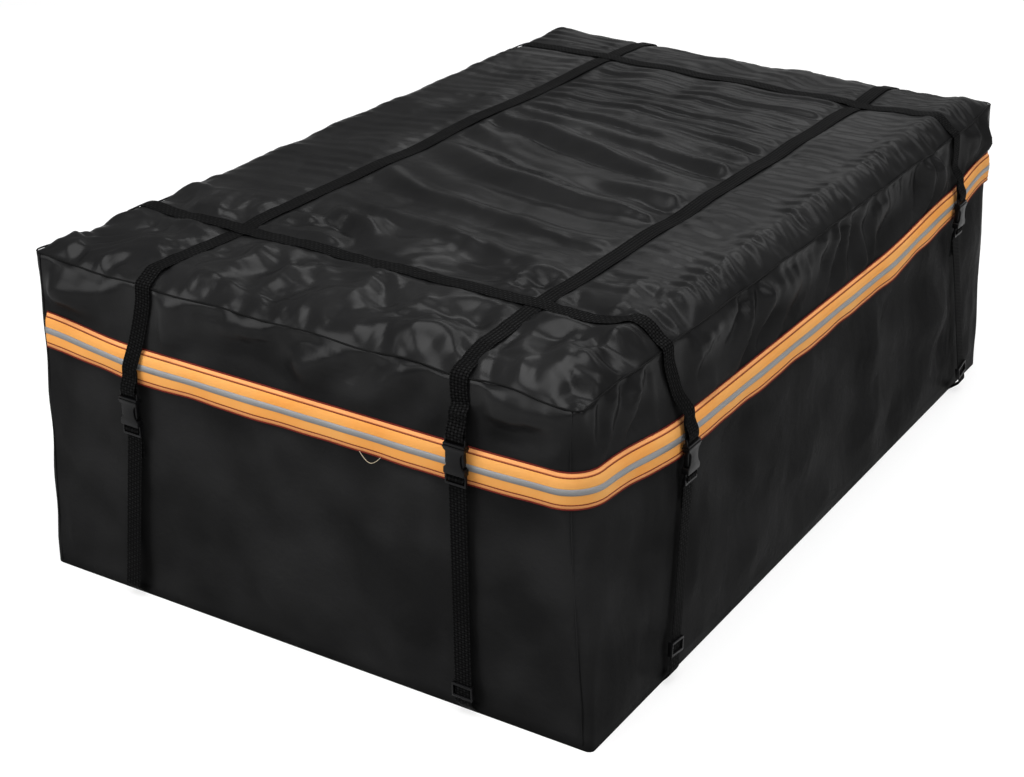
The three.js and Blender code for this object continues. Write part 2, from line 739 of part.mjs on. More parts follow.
function makeCrossStrap(strap) {
  const left = nearest(endsOn('left'), strap.along);
  const right = nearest(endsOn('right'), strap.along);
  const over = longStraps.flatMap(({ across }) => [-30, -14, 0, 14, 30].map((d) => across + d));
  const top = topStations(acrossStations, bagWidth / 2, 50, over).map((x) => {
    const crossing = longStraps[x < 0 ? 0 : 1].across;
    const past = Math.abs(x) - Math.abs(crossing) - webWidth;
    const y = leanTo(x < 0 ? left : right, strap.along, past, bagWidth / 2 - Math.abs(crossing) - webWidth);
    const point = topPoint(x, y);
    return point.setZ(point.z + webRest + crossingLift(x) + brimSlack(bagWidth / 2 - Math.abs(x)));
  });
  const points = [...strapEndPoints(left), ...top, ...strapEndPoints(right).reverse()];
  return webbing(points, new THREE.Vector3(0, 1, 0));
}

// A tight strap stands a little off the fabric where the top turns down to the rim.
function brimSlack(inwards) {
  return 3.2 * ease((brimWidth + 16 - inwards) / brimWidth);
}

// Where the tail's straight run starts and ends.
function tailRun(end) {
  const level = offWall(end.side, end.at, end.mouth, buckleOut - barThickness / 2 - webRest);
  const start = new THREE.Vector3(level.x, level.y, end.mouth + femaleEnd - 6);
  const foot = offWall(end.side, end.foot, 18, end.footOut);
  return { start, foot };
}

// From the loose end, round the ladder bar, and down to the hem.
function makeTail(end) {
  const wrap = barThickness / 2 + webRest;
  const barMiddle = ladderBar - barHeight / 2;
  const high = barHeight / 2 + webRest;
  const slotMiddle = lowerSlot - slotHeight / 2;
  const layer = webThickness + restGap;
  const points = [];
  const spot = (out, height) => {
    const level = offWall(end.side, end.at, end.mouth, buckleOut + out);
    points.push(new THREE.Vector3(level.x, level.y, end.mouth + height));
  };
  spot(-wrap - layer - 0.4, femaleEnd - 34);
  spot(-wrap - layer - 0.4, femaleEnd - 6);
  spot(-wrap - layer + 0.2, slotMiddle - 1.5);
  spot(-wrap - 0.3, barMiddle);
  spot(-wrap * turn, barMiddle + high * turn);
  spot(0, barMiddle + high);
  spot(wrap * turn, barMiddle + high * turn);
  spot(wrap, barMiddle);
  spot(wrap + 0.4, lowerSlot - 0.4);
  spot(0, slotMiddle);
  spot(-wrap - 0.4, endBar + 0.4);
  spot(-wrap, (endBar + femaleEnd) / 2);
  const { start, foot } = tailRun(end);
  for (const share of [0, 0.33, 0.67, 0.95, 1]) points.push(start.clone().lerp(foot, share));
  points.push(offWall(end.side, end.foot, 11, end.footOut * 0.55 + webRest));
  points.push(offWall(end.side, end.foot, 3, webRest + 0.1));
  return webbing(points, sides[end.side].run);
}

// Places a rigid piece at a strap end.
function standOut(mesh, end) {
  mesh.position.copy(offWall(end.side, end.at, end.mouth, buckleOut));
  mesh.rotation.z = sides[end.side].turn;
}

function placeGlide(mesh, end) {
  const { start, foot } = tailRun(end);
  const share = (start.z - end.glide) / (start.z - foot.z);
  mesh.position.copy(start.clone().lerp(foot, share));
  const up = start.clone().sub(foot).normalize();
  const run = sides[end.side].run.clone().addScaledVector(up, -up.dot(sides[end.side].run)).normalize();
  const outward = new THREE.Vector3().crossVectors(run, up);
  const flip = outward.dot(sides[end.side].out) < 0 ? -1 : 1;
  const basis = new THREE.Matrix4().makeBasis(run.multiplyScalar(flip), outward.multiplyScalar(-flip), up);
  mesh.quaternion.setFromRotationMatrix(basis);
}

add('bag_shell', makeShell(), fabric);
add('storm_flap', makeFlap(), flapCloth);
add('reflective_stripe', makeStripe(), reflective);
add('zip_chain', makeZipChain(), zipBlack);

for (const [name, way] of [['front', -1], ['rear', 1]]) {
  const along = sliderMeet + way * (sliderLength / 2 + 1);
  const holder = new THREE.Group();
  holder.position.copy(offWall('right', along, flapMiddle(bagWidth / 2, along), 0));
  holder.rotation.z = sides.right.turn;
  part.add(holder);
  add(`zip_slider_${name}`, makeSlider(), zipBlack, holder);
  add(`zip_pull_${name}`, makePull(), zipBlack, holder);
}

for (const strap of longStraps) add(`long_strap_${strap.name}`, makeLongStrap(strap), webbingBlack);
for (const strap of crossStraps) add(`cross_strap_${strap.name}`, makeCrossStrap(strap), webbingBlack);

for (const end of strapEnds) {
  standOut(add(`buckle_male_${end.name}`, makeMale(), buckleBlack), end);
  standOut(add(`buckle_female_${end.name}`, makeFemale(), buckleBlack), end);
  add(`tail_strap_${end.name}`, makeTail(end), webbingBlack);
  if (end.glide !== null) placeGlide(add(`tri_glide_${end.name}`, makeGlide(), buckleBlack), end);
}

export default part;
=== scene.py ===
import math

import bmesh
import bpy
import numpy as np
from mathutils import Matrix, Vector


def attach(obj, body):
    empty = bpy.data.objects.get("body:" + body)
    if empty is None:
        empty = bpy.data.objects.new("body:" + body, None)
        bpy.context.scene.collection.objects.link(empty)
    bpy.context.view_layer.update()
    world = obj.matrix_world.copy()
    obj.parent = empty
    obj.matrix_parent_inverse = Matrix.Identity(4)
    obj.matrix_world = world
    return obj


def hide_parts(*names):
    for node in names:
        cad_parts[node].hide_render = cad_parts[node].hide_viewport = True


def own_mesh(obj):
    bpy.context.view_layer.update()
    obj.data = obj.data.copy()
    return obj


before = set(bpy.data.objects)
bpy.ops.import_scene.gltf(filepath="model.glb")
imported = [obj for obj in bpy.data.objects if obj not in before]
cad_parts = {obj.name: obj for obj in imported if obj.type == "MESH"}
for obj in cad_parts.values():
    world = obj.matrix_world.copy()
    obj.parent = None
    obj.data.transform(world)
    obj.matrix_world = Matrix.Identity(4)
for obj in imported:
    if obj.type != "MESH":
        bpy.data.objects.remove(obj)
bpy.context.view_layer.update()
scene = bpy.context.scene

# Camera

cameraLook = {
    "place": (1.3713, -2.2481, 1.3999),
    "azimuth": 32.742,
    "elevation": 25.937,
    "lens": 66.53,
    "shift": (-0.01035, -0.0058),
}
camera = bpy.data.objects.new("camera", bpy.data.cameras.new("camera"))
scene.collection.objects.link(camera)
camera.data.lens = cameraLook["lens"]
camera.data.sensor_width = 36
camera.data.shift_x, camera.data.shift_y = cameraLook["shift"]
camera.location = cameraLook["place"]
camera.rotation_euler = (math.radians(90 - cameraLook["elevation"]), 0, math.radians(cameraLook["azimuth"]))
scene.camera = camera
print("camera placed")

# Forms of the bag. A place on it is given by where it would be on a plain box.

bag = {
    "width": 0.860,
    "length": 1.300,
    "seamHeight": 0.460,
    "crownRise": 0.019,      # how far the load lifts the top above the rim seam
    "brim": 0.044,           # how far in from the rim the top reaches that height
    "ridgeInset": 0.038,     # the edge of the load along the right side
    "ridgeRise": 0.009,
    "ridgeSpread": 0.026,
    "ridgeEnd": 0.12,        # over which it fades out at the front and back
    "wallFullness": 0.007,
    "earSpread": 0.060,
    "seamDip": 0.0022,       # how far the fabric sinks towards the rim seam on both sides
    "seamWave": 0.0016,      # how far the rim seam wanders up and down
}
# Each corner is pulled at its foot and rim, and rounded there and two thirds of the way up
cornerKeys = ("across", "along", "foot", "rim", "radii", "swell", "ear")
corners = [dict(zip(cornerKeys, row)) for row in (
    (-1, -1, (0, -0.018), (0.008, 0), (0.012, 0.010), 0.008, 0.007),
    (1, -1, (0.008, 0.007), (-0.012, 0.004), (0.008, 0.007), 0.036, -0.003),
    (1, 1, (-0.001, 0.018), (-0.012, -0.014), (0.016, 0.010), 0.008, 0.009),
    (-1, 1, (-0.008, 0.018), (0.014, 0.006), (0.016, 0.012), 0.008, 0.007),
)]
halfWidth = bag["width"] / 2
halfLength = bag["length"] / 2
swellScale = 27 / 4          # gives the swell its full size two thirds of the way up


def ease(t):
    c = np.clip(t, 0, 1)
    return c * c * (3 - 2 * c)


def bell(t):
    return np.exp(-np.square(t))


def roll(t):
    # rises steeply from 0 and rolls over to 1
    return 1 - np.square(1 - np.clip(t, 0, 1))


def drift(x, y, size, seed, waves=9):
    # a soft random field of about -1 to 1, with bumps of about the given size
    pick = np.random.default_rng(seed)
    total = 0
    for _ in range(waves):
        heading = pick.uniform(0, 2 * math.pi)
        rate = 2 * math.pi * pick.uniform(0.55, 1.35) / (2 * size)
        total = total + np.sin(rate * (x * math.cos(heading) + y * math.sin(heading)) + pick.uniform(0, 6.28))
    return total / math.sqrt(waves)


def facets(x, y, size, seed, waves=6):
    # like drift, but made of flat faces that meet in creases, as coated cloth crumples
    pick = np.random.default_rng(seed)
    total = 0
    for _ in range(waves):
        heading = pick.uniform(0, 2 * math.pi)
        rate = 2 * math.pi * pick.uniform(0.55, 1.35) / (2 * size)
        wave = np.sin(rate * (x * math.cos(heading) + y * math.sin(heading)) + pick.uniform(0, 6.28))
        total = total + np.arcsin(0.97 * wave)
    return total / math.sqrt(waves)


def smoothLine(points, step):
    # a curve through the points that stays tight where they are close together
    points = np.array(points, float)
    ends = [2 * points[0] - points[1], *points, 2 * points[-1] - points[-2]]
    line = []
    for i in range(len(points) - 1):
        p = ends[i:i + 4]
        knots = [0.0]
        for a, b in zip(p, p[1:]):
            knots.append(knots[-1] + max(np.linalg.norm(b - a), 1e-7) ** 0.5)
        count = max(2, math.ceil(np.linalg.norm(p[2] - p[1]) / step))
        for k in range(count):
            t = knots[1] + (knots[2] - knots[1]) * k / count
            level = list(p)
            for depth in (1, 2, 3):
                pairs = []
                for j in range(len(level) - 1):
                    start, stop = (knots[1], knots[2]) if depth == 3 else (knots[j], knots[j + depth])
                    pairs.append(((stop - t) * level[j] + (t - start) * level[j + 1]) / (stop - start))
                level = pairs
            line.append(level[0])
    line.append(points[-1])
    return np.array(line)


def runAlong(line):
    # the distance from a line's start to each of its points
    return np.concatenate([[0], np.cumsum(np.linalg.norm(np.diff(line, axis=0), axis=1))])


def rimHeight(x, y):
    height = bag["seamHeight"] + bag["seamWave"] * drift(x, y, 0.07, 4)
    for corner in corners:
        away = np.hypot(x - corner["across"] * halfWidth, y - corner["along"] * halfLength)
        height = height + corner["ear"] * bell(away / bag["earSpread"])
    return height


def placeOnBox(x, y, share, height):
    # rounds the box's upright edges and pulls its corners; share is 0 at the floor and 1 at the rim
    x, y, share = (np.asarray(v, float) for v in (x, y, share))
    px, py = x, y
    for corner in corners:
        footRadius, rimRadius = corner["radii"]
        radius = footRadius + (rimRadius - footRadius) * share
        radius = radius + corner["swell"] * swellScale * share * share * (1 - share)
        a = radius - (halfWidth - corner["across"] * x)
        b = radius - (halfLength - corner["along"] * y)
        inside = (a > 0) & (b > 0)
        bound = 2 * radius * radius
        roundX = corner["across"] * (halfWidth - radius + a * np.sqrt(np.maximum(0, 1 - b * b / bound)))
        roundY = corner["along"] * (halfLength - radius + b * np.sqrt(np.maximum(0, 1 - a * a / bound)))
        px = np.where(inside, roundX, px)
        py = np.where(inside, roundY, py)
    for corner in corners:
        weight = (0.5 + corner["across"] * x / bag["width"]) * (0.5 + corner["along"] * y / bag["length"])
        px = px + weight * (corner["foot"][0] + (corner["rim"][0] - corner["foot"][0]) * share)
        py = py + weight * (corner["foot"][1] + (corner["rim"][1] - corner["foot"][1]) * share)
    return np.stack(np.broadcast_arrays(px, py, height), -1)


def wallPoint(x, y, height):
    share = np.clip(height / rimHeight(x, y), 0, 1)
    point = placeOnBox(x, y, share, height)
    swell = bag["wallFullness"] * 4 * share * (1 - share)
    endWall = np.abs(y) > halfLength - 1e-6
    sideWall = np.abs(x) > halfWidth - 1e-6
    endReach = ease((halfWidth - np.abs(x)) / (bag["width"] / 5))
    sideReach = ease((halfLength - np.abs(y)) / (bag["length"] / 5))
    point[..., 1] += np.where(endWall, np.sign(y) * swell * endReach, 0)
    point[..., 0] += np.where(sideWall, np.sign(x) * swell * sideReach, 0)
    return point


def topPoint(x, y, lift=0):
    inX = halfWidth - np.abs(x)
    inY = halfLength - np.abs(y)
    brim = roll(inX / bag["brim"]) * roll(inY / (1.5 * bag["brim"]))
    ridge = bag["ridgeRise"] * bell((x - halfWidth + bag["ridgeInset"]) / bag["ridgeSpread"])
    rise = bag["crownRise"] + ridge * ease(inY / bag["ridgeEnd"])
    return placeOnBox(x, y, 1, rimHeight(x, y) + rise * brim + lift)


# Straps: where they lie, and how each end hangs

webbing = {
    "width": 0.025,
    "thickness": 0.0014,
    "bedHalf": 0.014,        # half of the fabric's width that it holds flat
    "step": 0.006,
    "around": 16,            # points round its section
    "topPoints": 90,
    "rimGap": 0.022,         # how far in from the rim its line over the top begins
    "offWall": 0.0014,       # slack over the wall near the rim
    "rimSlack": 0.0006,
    "crossRise": 0.016,      # over which a cross strap rises onto a long one
}
longLines = {"left": -0.228, "right": 0.252}
crossLines = {"front": -0.462, "rear": 0.500}
# Where an end crosses the rim, where its clip hangs and how high, and its tail's foot and slack
endKeys = ("rim", "at", "mouth", "foot", "out")
strapEnds = {name: dict(zip(endKeys, row)) for name, *row in (
    ("front_left", -0.232, -0.250, 0.306, -0.272, 0.015),
    ("front_right", 0.264, 0.267, 0.379, 0.258, 0.012),
    ("right_front", -0.452, -0.428, 0.327, -0.466, 0.012),
    ("right_rear", 0.487, 0.478, 0.353, 0.528, 0.018),
    ("back_right", 0.252, 0.252, 0.330, 0.252, 0.009),
    ("back_left", -0.228, -0.228, 0.330, -0.228, 0.009),
    ("left_rear", 0.500, 0.500, 0.330, 0.500, 0.012),
    ("left_front", -0.462, -0.462, 0.330, -0.462, 0.012),
)}
outward = {"front": (0, -1, 0), "right": (1, 0, 0), "back": (0, 1, 0), "left": (-1, 0, 0)}
sideways = {"front": (1, 0, 0), "right": (0, 1, 0), "back": (1, 0, 0), "left": (0, 1, 0)}


def sideOf(name):
    return name.split("_")[0]


def onSide(side, along):
    out, run = np.array(outward[side], float), np.array(sideways[side], float)
    return run * along + out * np.array((halfWidth, halfLength, 0))


def offWall(side, along, height, out):
    foot = onSide(side, along)
    return wallPoint(foot[0], foot[1], height) + np.array(outward[side]) * out


def awayFromStraps(x, y, near, far):
    # 0 within near of any strap's middle on the top, 1 beyond far
    clear = 1
    for across in longLines.values():
        clear = clear * ease((np.abs(x - across) - near) / (far - near))
    for along in crossLines.values():
        clear = clear * ease((np.abs(y - along) - near) / (far - near))
    return clear


# Creases of the top

creases = {
    "steepness": 0.56,          # height of the long middle ridges for their half width
    "mainWidth": 0.0200,        # half width of the broadest ones
    "sidePitch": 0.031,         # gathers beside the long straps
    "sideHeight": 0.0031,
    "sideWidth": 0.0085,
    "betweenHeight": 0.0016,    # low ridges between the long ones
    "betweenWidth": 0.008,
    "rearPitch": 0.026,         # behind the rear cross strap
    "rearWidth": 0.008,
    "crumple": 0.0046,          # soft S-shaped folds at the front end
    "crumpleSize": 0.060,
    "smallSize": 0.024,
    "warp": 0.030,              # how far they wind from side to side
    "warpSize": 0.085,
    "fineHeight": 0.0006,
    "fineSize": 0.014,
    "ridgeGather": 0.0042,      # short gathers over the edge of the load
    "ridgePitch": 0.029,
    "ridgeWidth": 0.0085,
    "seamGather": 0.0037,       # short gathers along the rim seam
    "seamPitch": 0.023,
    "strapPucker": 0.0017,
    "strapPuckerPitch": 0.017,
    "strapPuckerWidth": 0.005,
    "strapBed": 0.0022,         # how far the straps press in
}
# Crests of the long ridges, front to rear: which ridge it is, and its x, y from left to right
longRidges = [
    (-2, [(-0.228, -0.440), (0.252, -0.450)]),
    (-1, [(-0.228, -0.262), (-0.065, -0.312), (0.022, -0.326), (0.102, -0.342), (0.252, -0.362)]),
    (0, [(-0.228, -0.130), (-0.093, -0.189), (0.021, -0.220), (0.132, -0.255), (0.252, -0.268)]),
    (1, [(-0.228, -0.022), (-0.098, -0.040), (0.025, -0.084), (0.132, -0.121), (0.252, -0.150)]),
    (2, [(-0.228, 0.072), (-0.075, 0.010), (0.028, -0.022), (0.116, -0.040), (0.252, -0.076)]),
    (3, [(-0.228, 0.134), (-0.099, 0.096), (0.017, 0.066), (0.149, 0.026), (0.252, 0.014)]),
    (4, [(-0.228, 0.180), (-0.059, 0.160), (0.155, 0.105), (0.252, 0.085)]),
    (5, [(-0.228, 0.212), (-0.059, 0.205), (0.155, 0.172), (0.252, 0.155)]),
    (7, [(-0.228, 0.262), (-0.060, 0.282), (0.154, 0.262), (0.252, 0.248)]),
    (9, [(-0.228, 0.330), (-0.060, 0.346), (0.154, 0.336), (0.252, 0.330)]),
    (11, [(-0.228, 0.398), (-0.066, 0.412), (0.127, 0.408), (0.252, 0.404)]),
    (13, [(-0.228, 0.466), (-0.071, 0.480), (0.074, 0.482), (0.252, 0.476)]),
]
# Single folds at the front end: x, y along the crest, height and half width
singleFolds = [
    ([(-0.215, -0.300), (-0.150, -0.345), (-0.098, -0.362), (-0.070, -0.400), (-0.075, -0.432)],
     0.0085, 0.017),
    ([(-0.195, -0.360), (-0.160, -0.395), (-0.140, -0.432)], 0.0050, 0.013),
    ([(-0.330, -0.575), (-0.285, -0.560), (-0.240, -0.540)], 0.0040, 0.011),
    ([(-0.190, -0.480), (-0.150, -0.515), (-0.140, -0.560), (-0.170, -0.600)], 0.0085, 0.019),
    ([(-0.085, -0.480), (-0.055, -0.530), (-0.075, -0.570), (-0.040, -0.610)], 0.0080, 0.018),
    ([(0.010, -0.500), (0.050, -0.545), (0.040, -0.590)], 0.0060, 0.015),
    ([(-0.195, -0.612), (-0.120, -0.620), (-0.060, -0.632)], 0.0050, 0.010),
    ([(0.075, -0.575), (0.140, -0.560), (0.205, -0.580)], 0.0055, 0.013),
    ([(0.150, -0.640), (0.180, -0.610), (0.215, -0.600)], 0.0085, 0.015),
    ([(0.300, -0.500), (0.295, -0.560), (0.335, -0.615)], 0.0060, 0.015),
    ([(0.375, -0.500), (0.350, -0.545), (0.370, -0.600)], 0.0050, 0.014),
]


def foldAlong(x, y, crest, height, width):
    # a rounded crest along a line, with a shallow trough on one side
    line = smoothLine([(a, b, 0) for a, b in crest], 0.010)[:, :2]
    marks = runAlong(line)
    best = np.full(np.shape(x), 1.0)
    place = np.zeros(np.shape(x))
    side = np.zeros(np.shape(x))
    for (ax, ay), (bx, by), start, stop in zip(line[:-1], line[1:], marks, marks[1:]):
        dx, dy = (bx - ax) / (stop - start), (by - ay) / (stop - start)
        along = np.clip((x - ax) * dx + (y - ay) * dy, 0, stop - start)
        away = np.hypot(x - ax - along * dx, y - ay - along * dy)
        closer = away < best
        best = np.where(closer, away, best)
        place = np.where(closer, start + along, place)
        side = np.where(closer, np.sign((x - ax) * dy - (y - ay) * dx), side)
    taper = ease(place / (0.35 * marks[-1])) * ease((marks[-1] - place) / (0.35 * marks[-1]))
    signed = best * side
    return height * taper * (bell(best / width) - 0.5 * bell((signed - 1.9 * width) / (1.2 * width)))


def ridgeCount(x, y):
    # counts the long ridges from front to rear: whole on each crest, and how far apart they are there
    places = [np.interp(x, [p[0] for p in line], [p[1] for p in line]) for _, line in longRidges]
    counts = [number for number, _ in longRidges]
    count = np.full(np.shape(x), float(counts[0]))
    spacing = np.full(np.shape(x), 0.05)
    for low, high, first, last in zip(places, places[1:], counts, counts[1:]):
        here = (y >= low) & (y < high)
        count = np.where(here, first + (last - first) * (y - low) / (high - low), count)
        spacing = np.where(here, (high - low) / (last - first), spacing)
    count = np.where(y >= places[-1], counts[-1] + (y - places[-1]) / 0.034, count)
    spacing = np.where(y >= places[-1], 0.034, spacing)
    return count, spacing


def crests(count, spacing, width, seed, across):
    # rounded crests at whole counts; each one swells and fades along its length
    nearest = np.round(count)
    away = (count - nearest) * spacing
    strength = 0.72 + 0.34 * drift(across, nearest * 0.31, 0.22, seed)
    slim = np.minimum(width, 0.27 * spacing)
    lean = 0.40 * bell((away + 1.6 * slim) / slim)
    return np.clip(strength, 0.10, 1.3) * (bell(away / slim) - lean) * np.clip(spacing / 0.04, 0.35, 1)


def topCreases(x, y):
    inX = halfWidth - np.abs(x)
    inY = halfLength - np.abs(y)
    left, right = longLines["left"], longLines["right"]
    front, rear = crossLines["front"], crossLines["rear"]
    count, spacing = ridgeCount(x, y)
    count = count + (0.03 * drift(x, y, 0.12, 21) + 0.12 * drift(x, y, 0.28, 22)) * ease((y - front) / 0.15)
    inMiddle = ease((x - left) / 0.02) * ease((right - x) / 0.02)
    inMiddle = inMiddle * ease((y - front) / 0.03) * ease((rear - y) / 0.02)
    height = creases["steepness"] * np.minimum(creases["mainWidth"], 0.27 * spacing)
    fadeFront = 0.35 + 0.65 * ease((y - front - 0.06) / 0.14)
    middle = height * crests(count, spacing, creases["mainWidth"], 23, x) * inMiddle * fadeFront
    between = crests(count * 2 + 0.5, spacing / 2, creases["betweenWidth"], 24, x)
    between = between * np.clip(0.2 + 0.8 * drift(x, y, 0.08, 25), 0, 1)
    middle = middle + creases["betweenHeight"] * between * inMiddle * fadeFront

    onLeft = ease((left - x) / 0.02)
    onRight = ease((x - right) / 0.02)
    sideway = np.where(x < 0, 0.22 * (x - left), -0.10 * (x - right))
    beside = (y - sideway + 0.006 * drift(x, y, 0.09, 26)) / creases["sidePitch"]
    sides = creases["sideHeight"] * crests(beside, creases["sidePitch"], creases["sideWidth"], 27, x)
    reach = 0.35 + 0.65 * bell(np.minimum(np.abs(x - left), np.abs(x - right)) / 0.10)
    sides = sides * (onLeft * ease((y + 0.44) / 0.2) * reach + onRight * ease((y + 0.46) / 0.1) * reach)
    behind = (y + 0.10 * x + 0.008 * drift(x, y, 0.08, 28)) / creases["rearPitch"]
    atRear = creases["sideHeight"] * crests(behind, creases["rearPitch"], creases["rearWidth"], 29, x)
    atRear = atRear * ease((y - rear) / 0.02)

    frontShare = 1 - ease((y - front - 0.03) / 0.16)
    warpX = x + creases["warp"] * drift(x, y, creases["warpSize"], 31)
    warpY = y + creases["warp"] * drift(x, y, creases["warpSize"], 32)
    broad = facets(warpX, warpY, creases["crumpleSize"], 33)
    broad = broad + 0.24 * facets(warpX, warpY, creases["smallSize"], 34, 5)
    crumple = creases["crumple"] * broad * (0.08 + 0.92 * frontShare)
    single = sum(foldAlong(x, y, *fold) for fold in singleFolds)
    fine = creases["fineHeight"] * drift(warpX, warpY, creases["fineSize"], 36, 12)
    fine = fine * (0.35 + 0.65 * frontShare)

    overRidge = bell((x - halfWidth + 0.040) / 0.030) * ease(inY / bag["ridgeEnd"])
    ridgeAt = (y + 0.3 * (x - halfWidth) + 0.010 * drift(x, y, 0.07, 37)) / creases["ridgePitch"]
    ridge = crests(ridgeAt, creases["ridgePitch"], creases["ridgeWidth"], 38, x * 0.3)
    ridge = creases["ridgeGather"] * overRidge * ridge
    clear = awayFromStraps(x, y, webbing["bedHalf"], 0.030)
    lift = (middle + sides + atRear + crumple + single + ridge) * clear + fine

    bed = 0
    straps = [(line, x, y) for line in longLines.values()]
    straps = straps + [(line, y, x) for line in crossLines.values()]
    for line, place, other in straps:
        away = np.abs(place - line)
        bed = bed - creases["strapBed"] * bell(away / 0.022)
        puckerAt = other + 0.25 * (place - line) + 0.004 * drift(x, y, 0.04, 39)
        puckerAt = puckerAt / creases["strapPuckerPitch"]
        pucker = crests(puckerAt, creases["strapPuckerPitch"], creases["strapPuckerWidth"], 40, other)
        pucker = creases["strapPucker"] * pucker * ease((away - webbing["bedHalf"]) / 0.008)
        bed = bed + pucker * bell(away / 0.040)
    fromSeam = np.minimum(inX, inY)
    alongSeam = np.where(inX < inY, y, x) + 0.5 * fromSeam + 0.012 * drift(x, y, 0.06, 42)
    gather = facets(alongSeam, 0.55 * fromSeam, creases["seamPitch"], 43, 5)
    gather = gather * bell((fromSeam - 0.020) / 0.026)
    byPlace = 0.15 + 0.30 * ease((x + 0.10) / 0.20)
    byPlace = byPlace + (1 - byPlace) * ease((-0.53 - y) / 0.08)
    gather = creases["seamGather"] * gather * byPlace
    seam = 0.0010 * drift(x, y, 0.018, 41) * bell(fromSeam / 0.020) + gather
    brim = ease(fromSeam / 0.004)
    dip = bag["seamDip"] * bell(fromSeam / 0.006)
    return ((lift + bed) * roll(inX / 0.036) * roll(inY / 0.045) + seam) * brim - dip


# Creases of the walls

wallCreases = {
    "dent": 0.0052,          # broad soft hollows
    "drape": 0.0007,         # faint upright creases
    "crinkle": 0.0006,
    "pucker": 0.0018,        # short gathers under the rim seam
    "puckerPitch": 0.030,
    "lidPuff": 0.0042,       # how far the lid bellies out just under the seam
    "lidCrumple": 0.0052,    # folds between the flap and the rim seam
    "cornerBow": 0.0007,     # how far the upright edges wander
}
flap = {
    "height": 0.048,
    "thickness": 0.001,
    "belly": 0.0049,
    "hem": 0.0031,
    "level": 0.351,
    "start": 0.020,
    "gap": 0.0004,
    "flutter": 0.0013,       # how far its loose lower edge waves
    "stripe": 0.0085,
    "stitchInset": 0.0062,
    "stripeThickness": 0.0005,
    "upperRoll": 0.011,      # how soon it bellies out below its sewn edge
    "lowerRoll": 0.014,      # how far above the hem it turns in again
    "edging": 0.0010,        # radius of the thread along both edges
    "step": 0.006,
    "rows": 11,
}


def flapMiddle(x, y):
    dip = 0.015 * ease((y + halfLength - 0.050) / 0.170) * ease((halfLength - 0.040 - y) / 0.150)
    onRight = ease((x - halfWidth + 0.060) / 0.060)
    farLift = 0.015 * ease((y - 0.190) / 0.260) * ease((x - 0.180) / 0.250)
    leftLift = 0.022 * ease((-x - 0.250) / 0.170) * ease(-y / bag["length"])
    return flap["level"] - dip * onRight + farLift + leftLift


def wallOffset(side, along, half, height, rim, middle, seed):
    # how far the fabric stands out of the plain wall, with nothing at the upright edges
    clear = 1
    for name, end in strapEnds.items():
        if sideOf(name) == side:
            tail = end["at"] + (end["foot"] - end["at"]) * np.clip(1 - height / end["mouth"], 0, 1)
            strap = np.where(height < end["mouth"], tail, (end["rim"] + end["at"]) / 2)
            clear = clear * ease((np.abs(along - strap) - 0.023) / 0.030)
    depth = rim - height
    edge = ease((half - np.abs(along)) / 0.05)
    below = ease(depth / 0.05)
    foot = ease(height / 0.06)
    warped = along + 0.03 * drift(along, height, 0.10, seed + 5)
    soft = drift(warped, height, 0.13, seed) + 0.35 * drift(warped, height, 0.055, seed + 4)
    broad = facets(warped + 0.4 * height, height, 0.085, seed + 8, 5)
    dents = wallCreases["dent"] * (0.7 * soft + 0.7 * broad) * foot * (0.4 + 0.6 * below)
    dents = np.where(dents > 0, dents * clear, dents * (0.4 + 0.6 * clear))
    upright = drift(along, height * 0.30, 0.050, seed + 1)
    drape = wallCreases["drape"] * (0.5 - np.sqrt(np.square(upright) + 0.03)) * foot * below
    crinkle = wallCreases["crinkle"] * (0.4 - np.abs(drift(warped, height, 0.024, seed + 2))) * foot * below
    puckerAt = (along + 0.006 * drift(along, height, 0.06, seed + 3)) / wallCreases["puckerPitch"]
    pucker = crests(puckerAt, wallCreases["puckerPitch"], 0.007, seed + 6, along)
    pucker = wallCreases["pucker"] * pucker * bell((depth - 0.012) / 0.028) * ease(depth / 0.008)
    underFlap = ease((np.abs(height - middle) - 0.021) / 0.030)
    aboveFlap = ease((height - middle - 0.020) / 0.02) * ease(depth / 0.012)
    sharp = facets(warped, height, 0.034, seed + 7)
    lid = wallCreases["lidCrumple"] * (0.4 * soft + sharp) * aboveFlap * clear
    puff = wallCreases["lidPuff"] * ease(depth / 0.022) * (1 - ease((depth - 0.036) / 0.050)) * clear
    total = (dents + drape + crinkle) * underFlap + pucker * clear + lid + puff
    return total * edge - bag["seamDip"] * bell(depth / 0.006)


# Shader node groups

def newGroup(name, inputs, outputs):
    group = bpy.data.node_groups.new(name, "ShaderNodeTree")
    for label, kind, value in inputs:
        socket = group.interface.new_socket(name=label, in_out="INPUT", socket_type=kind)
        socket.default_value = value
    for label in outputs:
        group.interface.new_socket(name=label, in_out="OUTPUT", socket_type="NodeSocketFloat")
    return group, group.nodes.new("NodeGroupInput"), group.nodes.new("NodeGroupOutput")


def mathNode(tree, operation, first, second=0.0):
    node = tree.nodes.new("ShaderNodeMath")
    node.operation = operation
    for socket, value in zip(node.inputs, (first, second)):
        if isinstance(value, bpy.types.NodeSocket):
            tree.links.new(value, socket)
        else:
            socket.default_value = value
    return node.outputs[0]


def noiseNode(tree, vector, scale, detail=2.0, roughness=0.5):
    node = tree.nodes.new("ShaderNodeTexNoise")
    tree.links.new(vector, node.inputs["Vector"])
    node.inputs["Detail"].default_value = detail
    node.inputs["Roughness"].default_value = roughness
    if isinstance(scale, bpy.types.NodeSocket):
        tree.links.new(scale, node.inputs["Scale"])
    else:
        node.inputs["Scale"].default_value = scale
    return node.outputs["Fac"]


